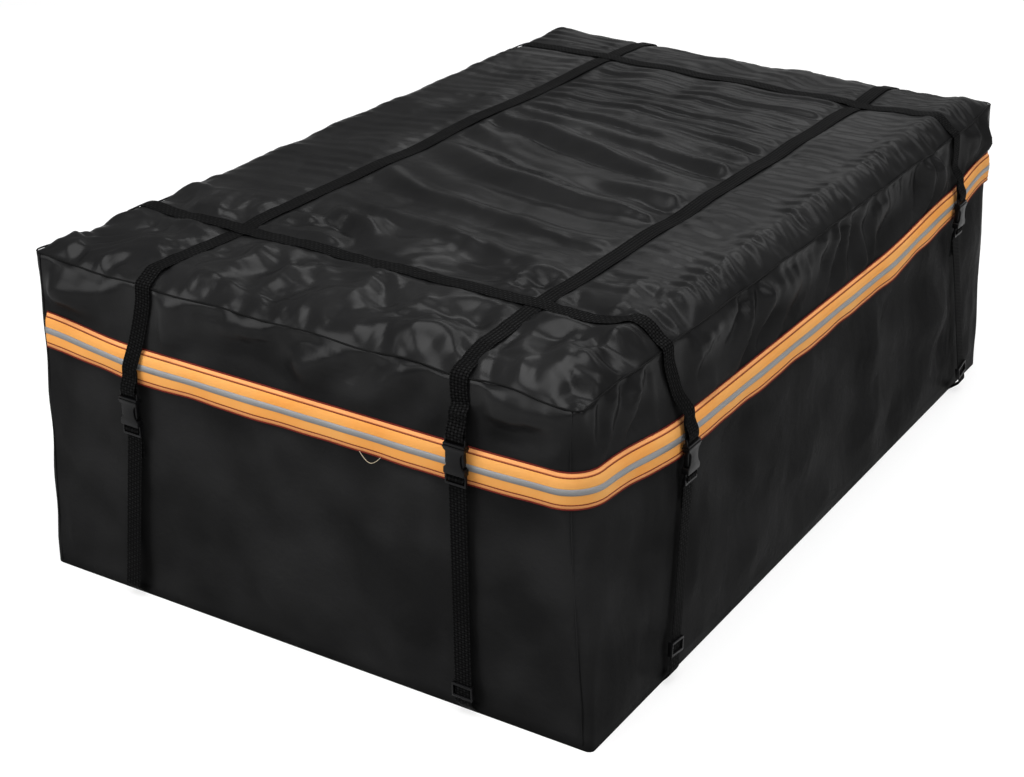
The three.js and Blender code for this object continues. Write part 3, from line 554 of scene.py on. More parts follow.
def rangeNode(tree, value, low, high, fromLow=0.0, fromHigh=1.0):
    node = tree.nodes.new("ShaderNodeMapRange")
    tree.links.new(value, node.inputs["Value"])
    for label, amount in (("From Min", fromLow), ("From Max", fromHigh), ("To Min", low), ("To Max", high)):
        node.inputs[label].default_value = amount
    return node.outputs["Result"]


def makeWeaveGroup():
    # a plain weave of warp and weft threads that pass over and under each other; its Shade output is painted
    # shade, darkest in the gaps between threads
    group, given, result = newGroup("plainWeave", (
        ("Vector", "NodeSocketVector", (0, 0, 0)),
        ("Warp Pitch", "NodeSocketFloat", 0.001),
        ("Weft Pitch", "NodeSocketFloat", 0.001),
    ), ("Height", "Shade"))
    split = group.nodes.new("ShaderNodeSeparateXYZ")
    group.links.new(given.outputs["Vector"], split.inputs[0])
    waves = []
    for axis, pitch in (("X", "Warp Pitch"), ("Y", "Weft Pitch")):
        threads = mathNode(group, "DIVIDE", split.outputs[axis], given.outputs[pitch])
        waves.append(mathNode(group, "SINE", mathNode(group, "MULTIPLY", threads, math.pi)))
    warp, weft = [mathNode(group, "ABSOLUTE", wave) for wave in waves]
    over = mathNode(group, "MULTIPLY", *waves)
    mix = mathNode(group, "ADD", mathNode(group, "MULTIPLY", over, 0.5), 0.5)
    fromWarp = mathNode(group, "MULTIPLY", warp, mix)
    fromWeft = mathNode(group, "MULTIPLY", weft, mathNode(group, "SUBTRACT", 1.0, mix))
    rise = mathNode(group, "ADD", fromWarp, fromWeft)
    group.links.new(rise, result.inputs["Height"])
    # painted shade: the thread lying on top is lighter than the one beneath it
    onTop = mathNode(group, "ADD", mathNode(group, "MULTIPLY", mix, 0.4), 0.6)
    group.links.new(mathNode(group, "MULTIPLY", rise, onTop), result.inputs["Shade"])
    return group


def makeShadeGroup():
    # slow changes of shade, and faint rubbed specks
    group, given, result = newGroup("slowShade", (
        ("Vector", "NodeSocketVector", (0, 0, 0)),
        ("Size", "NodeSocketFloat", 6.0),
    ), ("Factor", "Specks"))
    broad = noiseNode(group, given.outputs["Vector"], given.outputs["Size"], 4.0, 0.55)
    group.links.new(rangeNode(group, broad, 0.0, 1.0, 0.3, 0.7), result.inputs["Factor"])
    fine = noiseNode(group, given.outputs["Vector"], 420.0, 3.0, 0.6)
    group.links.new(mathNode(group, "GREATER_THAN", fine, 0.68), result.inputs["Specks"])
    return group


weaveGroup = makeWeaveGroup()
shadeGroup = makeShadeGroup()


def placeGroup(tree, group, vector, *values):
    # the values go to the inputs that follow Vector, in the group's order
    node = tree.nodes.new("ShaderNodeGroup")
    node.node_tree = group
    tree.links.new(vector, node.inputs["Vector"])
    for socket, value in zip(list(node.inputs)[1:], values):
        socket.default_value = value
    return node


def newMaterial(name, roughness, specular):
    # gives the material's shader, and the two places to read a pattern from: the object's and the cloth's own
    material = bpy.data.materials.new(name)
    material.use_nodes = True
    tree = material.node_tree
    shader = tree.nodes["Principled BSDF"]
    shader.inputs["Roughness"].default_value = roughness
    shader.inputs["Specular IOR Level"].default_value = specular
    coordinates = tree.nodes.new("ShaderNodeTexCoord")
    return material, tree, shader, coordinates.outputs["Object"], coordinates.outputs["UV"]


def feed(shader, label, value):
    shader.id_data.links.new(value, shader.inputs[label])


def mixColour(tree, factor, first, second):
    node = tree.nodes.new("ShaderNodeMix")
    node.data_type = "RGBA"
    for label, value in (("Factor", factor), ("A", first), ("B", second)):
        socket = next(s for s in node.inputs if s.name == label and s.enabled)
        if isinstance(value, bpy.types.NodeSocket):
            tree.links.new(value, socket)
        else:
            socket.default_value = value if label == "Factor" else (*value, 1)
    return next(s for s in node.outputs if s.enabled)


def bumpNode(tree, height, distance, strength, normal=None):
    node = tree.nodes.new("ShaderNodeBump")
    node.inputs["Distance"].default_value = distance
    node.inputs["Strength"].default_value = strength
    tree.links.new(height, node.inputs["Height"])
    if normal is not None:
        tree.links.new(normal, node.inputs["Normal"])
    return node.outputs["Normal"]


def coatedFabric():
    # matt on the walls, whose colour carries painted light patches; a satin coat on the lid, from just under
    # the rim upwards
    material, tree, shader, place, cloth = newMaterial("coatedFabric", 0.32, 0.001)
    weave = placeGroup(tree, weaveGroup, cloth, 0.0007, 0.0007)
    shade = placeGroup(tree, shadeGroup, place, 7.0).outputs["Factor"]
    # painted light and shade: soft lighter and darker patches, about 14 cm across, in the walls' colour
    paintedLightPatches = rangeNode(tree, noiseNode(tree, place, 7.0, 2.0, 0.5), 0.0, 1.0, 0.40, 0.60)
    wallsWithPaintedLight = mixColour(tree, paintedLightPatches, (0.0142, 0.0142, 0.0144), (0.0212, 0.0212, 0.0215))
    onTop = mixColour(tree, shade, (0.0075, 0.0075, 0.0077), (0.0115, 0.0115, 0.0117))
    feed(shader, "Roughness", rangeNode(tree, shade, 0.23, 0.31))
    shader.inputs["Coat Roughness"].default_value = 0.29
    split = tree.nodes.new("ShaderNodeSeparateXYZ")
    tree.links.new(place, split.inputs[0])
    onLid = rangeNode(tree, split.outputs["Z"], 0.015, 0.24, 0.395, 0.450)
    lidShare = rangeNode(tree, onLid, 0.0, 1.0, 0.015, 0.24)
    feed(shader, "Base Color", mixColour(tree, lidShare, wallsWithPaintedLight, onTop))
    feed(shader, "Coat Weight", mathNode(tree, "MULTIPLY", onLid, rangeNode(tree, shade, 0.8, 1.2)))
    small = noiseNode(tree, place, 95.0, 3.0, 0.62)
    crease = mathNode(tree, "SUBTRACT", noiseNode(tree, place, 26.0, 3.0, 0.6), 0.5)
    crease = mathNode(tree, "ABSOLUTE", crease)
    creased = bumpNode(tree, crease, 0.006, 0.35, bumpNode(tree, small, 0.0012, 0.5))
    feed(shader, "Normal", bumpNode(tree, weave.outputs["Height"], 0.00012, 0.5, creased))
    return material


def flapTape():
    # orange, with a warmer zone and a dark line of stitches along each edge
    material, tree, shader, place, cloth = newMaterial("flapTape", 0.62, 0.12)
    half = flap["height"] / 2
    split = tree.nodes.new("ShaderNodeSeparateXYZ")
    tree.links.new(cloth, split.inputs[0])
    fromMiddle = mathNode(tree, "ABSOLUTE", split.outputs["X"])
    weave = placeGroup(tree, weaveGroup, cloth, 0.0011, 0.0011)
    shade = placeGroup(tree, shadeGroup, place, 9.0)
    body = mixColour(tree, shade.outputs["Factor"], (1.0, 0.40, 0.080), (1.0, 0.52, 0.160))
    # painted shade in the gaps between the threads, a darker orange
    gaps = rangeNode(tree, weave.outputs["Shade"], 0.0, 0.22, 0.9, 0.2)
    body = mixColour(tree, gaps, body, (0.80, 0.23, 0.03))
    edge = rangeNode(tree, fromMiddle, 0.0, 1.0, half - 0.0062, half - 0.0054)
    body = mixColour(tree, edge, body, (0.98, 0.42, 0.15))
    fromStitch = mathNode(tree, "SUBTRACT", fromMiddle, half - flap["stitchInset"])
    sunk = rangeNode(tree, mathNode(tree, "ABSOLUTE", fromStitch), 0.8, 0.0, 0.0005, 0.0014)
    feed(shader, "Base Color", mixColour(tree, sunk, body, (0.30, 0.045, 0.020)))
    feed(shader, "Normal", bumpNode(tree, weave.outputs["Height"], 0.0002, 0.8))
    return material


def reflectiveTape():
    material, tree, shader, place, cloth = newMaterial("reflectiveTape", 0.42, 0.5)
    beads = tree.nodes.new("ShaderNodeTexVoronoi")
    tree.links.new(cloth, beads.inputs["Vector"])
    beads.inputs["Scale"].default_value = 1500
    shade = placeGroup(tree, shadeGroup, place, 14.0)
    colour = mixColour(tree, shade.outputs["Factor"], (0.24, 0.24, 0.24), (0.33, 0.33, 0.325))
    gaps = rangeNode(tree, beads.outputs["Distance"], 0.0, 0.35, 0.1, 0.6)
    feed(shader, "Base Color", mixColour(tree, gaps, colour, (0.16, 0.16, 0.17)))
    feed(shader, "Normal", bumpNode(tree, beads.outputs["Distance"], 0.00015, 0.6))
    return material


def webbingCloth():
    material, tree, shader, place, cloth = newMaterial("webbingCloth", 0.60, 0.014)
    weave = placeGroup(tree, weaveGroup, cloth, 0.0048, 0.0036)
    shade = placeGroup(tree, shadeGroup, place, 20.0)
    # painted shade: nearly black in the gaps between threads, lighter on their crowns; roughness follows the
    # same pattern
    threads = rangeNode(tree, weave.outputs["Shade"], 0.0, 1.0, 0.25, 0.95)
    colour = mixColour(tree, threads, (0.0006, 0.0006, 0.0006), (0.0150, 0.0150, 0.0152))
    worn = rangeNode(tree, shade.outputs["Factor"], 0.0, 0.5)
    feed(shader, "Base Color", mixColour(tree, worn, colour, (0.0024, 0.0024, 0.0025)))
    feed(shader, "Roughness", rangeNode(tree, threads, 0.72, 0.52))
    fuzz = bumpNode(tree, noiseNode(tree, place, 1800.0, 2.0), 0.0002, 0.4)
    feed(shader, "Normal", bumpNode(tree, weave.outputs["Height"], 0.0007, 0.9, fuzz))
    return material


def mouldedPlastic(name, base, roughness):
    material, tree, shader, place, _ = newMaterial(name, roughness, 0.10)
    shade = placeGroup(tree, shadeGroup, place, 60.0)
    rubbed = mixColour(tree, shade.outputs["Factor"], base, tuple(v * 1.5 for v in base))
    specks = rangeNode(tree, shade.outputs["Specks"], 0.0, 0.25)
    feed(shader, "Base Color", mixColour(tree, specks, rubbed, (0.018, 0.018, 0.018)))
    feed(shader, "Roughness", rangeNode(tree, shade.outputs["Factor"], roughness - 0.06, roughness + 0.08))
    feed(shader, "Normal", bumpNode(tree, noiseNode(tree, place, 2600.0, 2.0), 0.0001, 0.35))
    return material


def threadMaterial(name, dark, light):
    material, tree, shader, place, _ = newMaterial(name, 0.65, 0.08)
    twist = tree.nodes.new("ShaderNodeTexWave")
    tree.links.new(place, twist.inputs["Vector"])
    twist.inputs["Scale"].default_value = 900
    twist.bands_direction = "DIAGONAL"
    feed(shader, "Base Color", mixColour(tree, twist.outputs["Fac"], dark, light))
    return material


materials = {
    "fabric": coatedFabric(),
    "flap": flapTape(),
    "stripe": reflectiveTape(),
    "webbing": webbingCloth(),
    "plastic": mouldedPlastic("mouldedPlastic", (0.0030, 0.0030, 0.0033), 0.36),
    "zip": mouldedPlastic("zipCoil", (0.012, 0.012, 0.013), 0.45),
    "redThread": threadMaterial("redThread", (0.10, 0.010, 0.008), (0.22, 0.030, 0.020)),
    "blackThread": threadMaterial("blackThread", (0.0015, 0.0015, 0.0015), (0.005, 0.005, 0.005)),
    "paleThread": threadMaterial("paleThread", (0.36, 0.30, 0.20), (0.62, 0.54, 0.40)),
}
print("materials made")


# Ways of making pieces

def finishPiece(name, bm, material, body="bag", replaced=(), smooth=True):
    mesh = bpy.data.meshes.new(name)
    bm.to_mesh(mesh)
    bm.free()
    piece = bpy.data.objects.new(name, mesh)
    scene.collection.objects.link(piece)
    mesh.materials.append(materials[material])
    mesh.polygons.foreach_set("use_smooth", [smooth] * len(mesh.polygons))
    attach(piece, body)
    if replaced:
        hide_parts(*replaced)
    return piece


def gridSheet(columns, rows):
    # a flat grid with a UV layer; each vertex is returned with its column and row
    bm = bmesh.new()
    bm.loops.layers.uv.new("UVMap")
    bmesh.ops.create_grid(bm, x_segments=columns, y_segments=rows, size=1)
    marks = {v: (round((v.co.x + 1) / 2 * columns), round((v.co.y + 1) / 2 * rows)) for v in bm.verts}
    return bm, marks


def unit(vectors):
    return vectors / np.maximum(np.linalg.norm(vectors, axis=-1, keepdims=True), 1e-9)


def tapeFrames(line, across):
    tangent = unit(np.gradient(line, axis=0))
    across = np.broadcast_to(np.asarray(across, float), line.shape)
    side = unit(across - tangent * np.sum(across * tangent, axis=1, keepdims=True))
    return side, np.cross(tangent, side)


def tapeSolid(line, across):
    # flat webbing with rounded, slightly thicker edges, its section square to the line
    side, face = tapeFrames(line, across)
    lengths = runAlong(line)
    around = webbing["around"]
    bm, marks = gridSheet(around, len(line) - 1)
    uv = bm.loops.layers.uv.active
    section = []
    for k in range(around + 1):
        angle = 2 * math.pi * k / around
        c, s = math.cos(angle), math.sin(angle)
        reach = math.copysign(abs(c) ** 0.45, c)
        rise = math.copysign(abs(s) ** 0.6, s) * (1 + 0.16 * abs(reach) ** 6)
        section.append((reach * webbing["width"] / 2, rise * webbing["thickness"] / 2))
    for polygon in bm.faces:
        for loop in polygon.loops:
            column, row = marks[loop.vert]
            loop[uv].uv = (section[column][0], lengths[row])
    for vert, (column, row) in marks.items():
        reach, rise = section[column]
        vert.co = Vector(line[row] + side[row] * reach + face[row] * rise)
    bmesh.ops.remove_doubles(bm, verts=bm.verts, dist=1e-6)
    bmesh.ops.holes_fill(bm, edges=[e for e in bm.edges if e.is_boundary])
    bmesh.ops.recalc_face_normals(bm, faces=bm.faces)
    return bm


def tube(line, radius, sides=6):
    # a round thread along a line, closed at both ends
    tangent = unit(np.gradient(line, axis=0))
    upright = np.array((0.31, 0.17, 0.93))
    side = unit(np.cross(tangent, upright))
    other = np.cross(tangent, side)
    bm, marks = gridSheet(sides, len(line) - 1)
    for vert, (column, row) in marks.items():
        angle = 2 * math.pi * column / sides
        vert.co = Vector(line[row] + radius * (side[row] * math.cos(angle) + other[row] * math.sin(angle)))
    bmesh.ops.remove_doubles(bm, verts=bm.verts, dist=1e-7)
    bmesh.ops.holes_fill(bm, edges=[e for e in bm.edges if e.is_boundary])
    bmesh.ops.recalc_face_normals(bm, faces=bm.faces)
    return bm


def stitchRow(bm, line, length, pitch, radius):
    # short lengths of thread laid one after another along a line
    steps = runAlong(line)
    for start in np.arange(pitch / 2, steps[-1] - length, pitch):
        a, b = [np.array([np.interp(start + d, steps, line[:, i]) for i in range(3)]) for d in (0, length)]
        way = Vector(b - a)
        middle = Vector((a + b) / 2)
        matrix = Matrix.Translation(middle) @ way.to_track_quat("Z", "Y").to_matrix().to_4x4()
        bmesh.ops.create_cone(bm, cap_ends=True, segments=5, radius1=radius, radius2=radius,
                              depth=length, matrix=matrix)


def softened(node, body, width):
    # a moulded copy of a hard piece, with its edges rounded
    bm = bmesh.new()
    bm.from_mesh(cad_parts[node].data)
    bmesh.ops.remove_doubles(bm, verts=bm.verts, dist=2e-6)
    bmesh.ops.dissolve_limit(bm, angle_limit=math.radians(2), verts=bm.verts, edges=bm.edges)
    sharp = [e for e in bm.edges if len(e.link_faces) == 2 and e.calc_face_angle() > math.radians(24)]
    bmesh.ops.bevel(bm, geom=sharp, offset=width, offset_type="OFFSET", affect="EDGES", segments=2,
                    profile=0.5, clamp_overlap=True, material=-1)
    bmesh.ops.triangulate(bm, faces=[f for f in bm.faces if len(f.verts) > 4])
    piece = finishPiece(node + "_moulded", bm, "plastic", body, (node,))
    piece.data.set_sharp_from_angle(angle=math.radians(38))


# Bag shell

shell = {"columns": 140, "rows": 400, "levels": 32, "crowding": 0.25}


def crowd(t, amount):
    # moves evenly spread stations from -1 to 1 closer together near both ends
    return t + amount * np.sin(math.pi * t) / math.pi


def makeShell():
    bm = bmesh.new()
    uv = bm.loops.layers.uv.new("UVMap")
    bmesh.ops.create_cube(bm, size=2)
    for axis, cuts in ((0, shell["columns"]), (1, shell["rows"]), (2, shell["levels"])):
        lines = [e for e in bm.edges if abs((e.verts[0].co - e.verts[1].co)[axis]) > 1.9]
        bmesh.ops.subdivide_edges(bm, edges=lines, cuts=cuts)
    under = [f for f in bm.faces if all(v.co.z < -0.999 for v in f.verts)]
    bmesh.ops.delete(bm, geom=under, context="FACES")
    half = np.array((halfWidth, halfLength, bag["seamHeight"] / 2))
    for polygon in bm.faces:
        n = polygon.normal
        first, second = (0, 1) if abs(n.z) > 0.5 else ((1, 2) if abs(n.x) > 0.5 else (0, 2))
        for loop in polygon.loops:
            co = loop.vert.co
            loop[uv].uv = (co[first] * half[first], co[second] * half[second])
    rim = [e for e in bm.edges if e.is_boundary]
    bmesh.ops.contextual_create(bm, geom=rim)
    piece = finishPiece("bag_fabric", bm, "fabric", replaced=("bag_shell",))
    mesh = piece.data
    plain = np.empty(len(mesh.vertices) * 3)
    mesh.vertices.foreach_get("co", plain)
    plain = plain.reshape(-1, 3)
    x = crowd(plain[:, 0], shell["crowding"]) * halfWidth
    y = crowd(plain[:, 1], shell["crowding"]) * halfLength
    t = (plain[:, 2] + 1) / 2
    x = np.where(np.abs(plain[:, 0]) > 0.9999, np.sign(x) * halfWidth, x)
    y = np.where(np.abs(plain[:, 1]) > 0.9999, np.sign(y) * halfLength, y)
    onTop = t > 0.9999
    rimZ = rimHeight(x, y)
    height = rimZ * (t + 0.35 * np.sin(math.pi * t) / math.pi)
    walls = wallPoint(x, y, height)
    middle = flapMiddle(x, y)
    sideWall = np.abs(x) > halfWidth - 1e-6
    endWall = np.abs(y) > halfLength - 1e-6
    sideOut = wallOffset("right", y, halfLength, height, rimZ, middle, 50)
    endOut = wallOffset("front", x, halfWidth, height, rimZ, middle, 60)
    sideOut = np.where(x < 0, wallOffset("left", y, halfLength, height, rimZ, middle, 70), sideOut)
    endOut = np.where(y > 0, wallOffset("back", x, halfWidth, height, rimZ, middle, 80), endOut)
    walls[:, 0] += np.where(sideWall, np.sign(x) * sideOut, 0)
    walls[:, 1] += np.where(endWall, np.sign(y) * endOut, 0)
    nearEdge = bell((halfWidth - np.abs(x)) / 0.03) * bell((halfLength - np.abs(y)) / 0.03)
    bow = wallCreases["cornerBow"] * drift(height, x + 2 * y, 0.06, 90) * nearEdge
    bow = bow * ease(height / 0.05) * ease((rimZ - height) / 0.03)
    walls[:, 0] += np.sign(x) * bow
    walls[:, 1] += np.sign(y) * bow
    tops = topPoint(x, y, topCreases(x, y))
    final = np.where(onTop[:, None], tops, walls)
    mesh.vertices.foreach_set("co", final.ravel())
    mesh.update()


makeShell()
print("bag shell made")


# Rim welt and upright seams

welt = {
    "radius": 0.0012,
    "outset": -0.0008,
    "step": 0.006,
    "cornerRadius": 0.0009,
    "cornerInset": 0.012,
    "cornerPoints": 60,
}


def perimeter(start, stop, step):
    # places on the plain box's outline, from the left end of the front wall round to the back
    path = [(a * halfWidth, b * halfLength) for a, b in ((-1, -1), (1, -1), (1, 1), (-1, 1), (-1, -1))]
    lengths = [math.dist(a, b) for a, b in zip(path, path[1:])]
    total = sum(lengths)
    stop = total if stop is None else stop
    marks = np.linspace(start, stop, max(2, round((stop - start) / step)))
    edges = np.concatenate([[0], np.cumsum(lengths)])
    points = np.array(path)
    return np.stack([np.interp(marks, edges, points[:, 0]), np.interp(marks, edges, points[:, 1])], -1)


def makeWelts():
    ring = perimeter(0, None, welt["step"])
    line = placeOnBox(ring[:, 0], ring[:, 1], 1, rimHeight(ring[:, 0], ring[:, 1]))
    outwards = unit(np.stack([line[:, 0], line[:, 1] * bag["width"] / bag["length"], line[:, 2] * 0], -1))
    line = line + outwards * welt["outset"]
    # a real ridge along the rim seam, coloured near-black as painted shade of the seam's groove
    finishPiece("rim_welt_painted_shade", tube(line, welt["radius"]), "blackThread")
    for index, corner in enumerate(corners):
        x, y = corner["across"] * halfWidth, corner["along"] * halfLength
        heights = np.linspace(0.006, float(rimHeight(x, y)) - 0.002, welt["cornerPoints"])
        xs = np.full(len(heights), x - corner["across"] * welt["cornerInset"])
        edge = wallPoint(xs, np.full(len(heights), y), heights)
        edge[:, 1] += corner["along"] * 0.0006
        bm = tube(edge, welt["cornerRadius"])
        finishPiece(f"corner_seam_{index + 1}", bm, "fabric")


makeWelts()
print("seams made")


# Storm flap and its stripe

flapStitch = {"length": 0.0034, "pitch": 0.0042, "radius": 0.00055}


def sweepFlap(stations, rows):
    # rows are (outwards, upwards) pairs measured from the flap's middle line
    x, y = stations[:, 0], stations[:, 1]
    middle = flapMiddle(x, y)
    base = wallPoint(x, y, middle)
    travel = np.gradient(base, axis=0)
    out = unit(np.stack([travel[:, 1], -travel[:, 0], 0 * travel[:, 0]], -1))
    run = runAlong(base)
    flutter = drift(run, 0 * run, 0.045, 95)
    sheet = []
    for outwards, upwards in rows:
        low = ease((0.35 * flap["height"] - upwards) / flap["height"])
        height = middle + upwards + 0.0007 * drift(run, 0 * run + upwards, 0.10, 96) * low
        push = outwards + flap["flutter"] * flutter * low
        sheet.append(wallPoint(x, y, height) + out * push[:, None])
    return np.array(sheet), run


def flapOut(up):
    # how far the flap stands off the wall, from its sewn upper edge down to its loose hem
    half = flap["height"] / 2
    levels = (-half, flap["upperRoll"] - half, half - flap["lowerRoll"], half)
    return np.interp(-up, levels, (flap["gap"], flap["belly"], flap["belly"], flap["hem"]))


def sheetPiece(name, sheet, run, ups, material, replaced, thickness):
    bm, marks = gridSheet(sheet.shape[0] - 1, sheet.shape[1] - 1)
    uv = bm.loops.layers.uv.active
    for polygon in bm.faces:
        for loop in polygon.loops:
            column, row = marks[loop.vert]
            loop[uv].uv = (ups[column], run[row])
    for vert, (column, row) in marks.items():
        vert.co = Vector(sheet[column, row])
    bmesh.ops.recalc_face_normals(bm, faces=bm.faces)
    middle = next(iter(bm.faces))
    if middle.normal.dot(middle.calc_center_median() * Vector((1, 1, 0))) < 0:
        bmesh.ops.reverse_faces(bm, faces=bm.faces)
    piece = finishPiece(name, bm, material, replaced=replaced)
    wall = piece.modifiers.new("thickness", "SOLIDIFY")
    wall.thickness = thickness
    wall.offset = 1


def makeFlap():
    stop = 2 * bag["width"] + bag["length"] - flap["start"]
    stations = perimeter(flap["start"], stop, flap["step"])
    half, band = flap["height"] / 2, flap["stripe"] / 2
    ups = np.linspace(half, -half, flap["rows"])
    face = flap["belly"] + flap["thickness"] + 0.0002
    stripeRows = [(face, band), (face + 0.0001, 0.0), (face, -band)]
    for name, rows, material, slot, node, thickness in (
        ("flap_tape", list(zip(flapOut(ups), ups)), "flap", "flap_cloth", "storm_flap", flap["thickness"]),
        ("stripe_tape", stripeRows, "stripe", "reflective_tape", "reflective_stripe",
         flap["stripeThickness"]),
    ):
        sheet, run = sweepFlap(stations, rows)
        sheetPiece(name, sheet, run, [up for _, up in rows], material, (node,), thickness)
    bm = bmesh.new()
    for up in (half - flap["stitchInset"], flap["stitchInset"] - half):
        line, _ = sweepFlap(stations, [(flapOut(up) + flap["thickness"] + 0.0002, up)])
        stitchRow(bm, line[0], **flapStitch)
    finishPiece("flap_stitching", bm, "redThread", smooth=False)
    for label, out, up in (("upper", flap["gap"], half), ("lower", flap["hem"], -half)):
        line, _ = sweepFlap(stations, [(out + flap["thickness"], up)])
        finishPiece(f"flap_edging_{label}", tube(line[0], flap["edging"]), "redThread")


makeFlap()
print("flap made")


# Webbing straps and tails, threaded through the buckles as in the frame

buckle = {
    "out": 0.0145,
    "bodyLength": 0.037,
    "slotHeight": 0.0044,
    "barHeight": 0.003,
    "barThickness": 0.0032,
    "flange": 0.003,
    "fit": 0.00035,
    "sewn": 0.032,
    "sewnInset": 0.0036,
    "turn": 0.84,
    "release": 0.034,        # how far the lower half pulls away
}
restGap = 0.0004
webRest = restGap + webbing["thickness"] / 2
maleBar = buckle["fit"] + buckle["flange"] + buckle["slotHeight"]
maleEnd = maleBar + buckle["barHeight"]
ladderBar = -buckle["bodyLength"] - buckle["slotHeight"]
lowerSlot = ladderBar - buckle["barHeight"]
endBar = lowerSlot - buckle["slotHeight"]
femaleEnd = endBar - buckle["barHeight"]
layer = webbing["thickness"] + restGap


def strapEndLine(name):
    # from the sewn end behind the clip's bar, round the bar, and up the wall to the rim
    end, side = strapEnds[name], sideOf(name)
    bar = end["mouth"] + (maleBar + maleEnd) / 2
    wrap = buckle["barThickness"] / 2 + webRest
    low = buckle["barHeight"] / 2 + webRest
    sewn = buckle["out"] - buckle["sewnInset"]
    top = bar + buckle["sewn"]
    hang, swing = buckle["out"], buckle["turn"]
    loop = [
        (sewn - layer, top), (sewn - layer, top - 0.010), (hang - wrap - 0.0002, bar + 0.008),
        (hang - wrap, bar), (hang - wrap * swing, bar - low * swing), (hang, bar - low),
        (hang + wrap * swing, bar - low * swing), (hang + wrap, bar),
        (hang + wrap - 0.0004, bar + 0.008), (sewn, top - 0.010), (sewn - 0.0006, top),
    ]
    points = []
    for out, height in loop:
        level = offWall(side, end["at"], end["mouth"], out)
        points.append((level[0], level[1], height))
    foot = onSide(side, end["rim"])
    rim = float(rimHeight(foot[0], foot[1]))
    overFlap = flap["belly"] + flap["thickness"] + flap["stripeThickness"] + 2 * restGap
    for share in (0.35, 0.7):
        height = top + (rim - 0.020 - top) * share
        along = end["at"] + (end["rim"] - end["at"]) * share
        share = float(ease((height - flap["level"]) / 0.040 - 0.4))
        off = overFlap + (webRest + webbing["offWall"] - overFlap) * share
        points.append(tuple(offWall(side, along, height, max(off, webRest + webbing["offWall"]))))
    points.append(tuple(offWall(side, end["rim"], rim - 0.018, webRest + 0.0013)))
    edge = wallPoint(foot[0], foot[1], rim)
    out = np.array(outward[side], float)
    for inwards, up in ((-0.0012, 0.0030), (0.009, 0.0095)):
        spot = edge - out * inwards
        points.append((spot[0], spot[1], rim + up))
    return points


def brimSlack(inwards):
    return webbing["rimSlack"] * float(ease((bag["brim"] + 0.016 - inwards) / bag["brim"]))


def crossingLift(x):
    # a cross strap rises over each long one
    fromEdge = min(abs(x - across) for across in longLines.values()) - webbing["width"] / 2
    return layer * float(ease(1.15 - fromEdge / webbing["crossRise"]))


def topLine(straight, lowEnd, highEnd, half, bends, alongX):
    # the strap's middle over the top, leaning at each end to where it crosses the rim
    points = []
    reach = half - webbing["rimGap"]
    for place in np.linspace(-reach, reach, webbing["topPoints"]):
        end, bend = (lowEnd, bends[0]) if place < 0 else (highEnd, bends[1])
        past = max(0, (abs(place) - abs(bend)) / (half - abs(bend)))
        other = straight + (end["rim"] - straight) * past
        x, y = (place, other) if alongX else (other, place)
        spot = topPoint(x, y, topCreases(np.array(x), np.array(y)))
        rise = webRest + brimSlack(half - abs(place)) + creases["strapBed"] * 0.35
        if alongX:
            rise += crossingLift(x)
        points.append((spot[0], spot[1], spot[2] + rise))
    return points


def makeStrap(kind, key, straight, ends, half, bends):
    alongX = kind == "cross"
    first, last = ends
    top = topLine(straight, strapEnds[first], strapEnds[last], half, bends, alongX)
    line = smoothLine(strapEndLine(first) + top + strapEndLine(last)[::-1], webbing["step"])
    bm = tapeSolid(line, (0, 1, 0) if alongX else (1, 0, 0))
    finishPiece(f"{kind}_webbing_{key}", bm, "webbing", replaced=(f"{kind}_strap_{key}",))


def makeStraps():
    bends = (crossLines["front"], crossLines["rear"])
    for key, across in longLines.items():
        makeStrap("long", key, across, (f"front_{key}", f"back_{key}"), halfLength, bends)
    bends = (longLines["left"] - webbing["width"], longLines["right"] + webbing["width"])
    for key, along in crossLines.items():
        makeStrap("cross", key, along, (f"left_{key}", f"right_{key}"), halfWidth, bends)


def tailLine(name):
    end, side = strapEnds[name], sideOf(name)
    wrap = buckle["barThickness"] / 2 + webRest
    barMiddle = ladderBar - buckle["barHeight"] / 2
    high = buckle["barHeight"] / 2 + webRest
    slotMiddle = lowerSlot - buckle["slotHeight"] / 2
    swing = buckle["turn"]
    loop = [
        (-wrap - layer - 0.0004, femaleEnd - 0.034), (-wrap - layer - 0.0004, femaleEnd - 0.006),
        (-wrap - layer + 0.0002, slotMiddle - 0.0015), (-wrap - 0.0003, barMiddle),
        (-wrap * swing, barMiddle + high * swing), (0, barMiddle + high),
        (wrap * swing, barMiddle + high * swing),
        (wrap, barMiddle), (wrap + 0.0004, lowerSlot - 0.0004), (0, slotMiddle),
        (-wrap - 0.0004, endBar + 0.0004), (-wrap, (endBar + femaleEnd) / 2),
    ]
    points = []
    for out, height in loop:
        level = offWall(side, end["at"], end["mouth"], buckle["out"] + out)
        points.append(np.array((level[0], level[1], end["mouth"] + height)))
    level = offWall(side, end["at"], end["mouth"], buckle["out"] - buckle["barThickness"] / 2 - webRest)
    start = np.array((level[0], level[1], end["mouth"] + femaleEnd - 0.006))
    foot = offWall(side, end["foot"], 0.018, end["out"])
    for share in (0, 0.2, 0.4, 0.6, 0.8, 0.95, 1):
        points.append(start + (foot - start) * share)
    points.append(offWall(side, end["foot"], 0.011, end["out"] * 0.55 + webRest))
    points.append(offWall(side, end["foot"], 0.003, webRest + 0.0001))
    return points


def makeTails():
    for name, end in strapEnds.items():
        line = smoothLine(tailLine(name), webbing["step"])
        bm = tapeSolid(line, sideways[sideOf(name)])
        piece = finishPiece(f"tail_webbing_{name}", bm, "webbing",
                            replaced=(f"tail_strap_{name}",))
        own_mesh(piece)


makeStraps()
makeTails()
print("webbing made")


# Box of stitches above each clip

stitchBox = {"width": 0.019, "height": 0.017, "rise": 0.021}
boxStitch = {"length": 0.0024, "pitch": 0.0032, "radius": 0.00035}


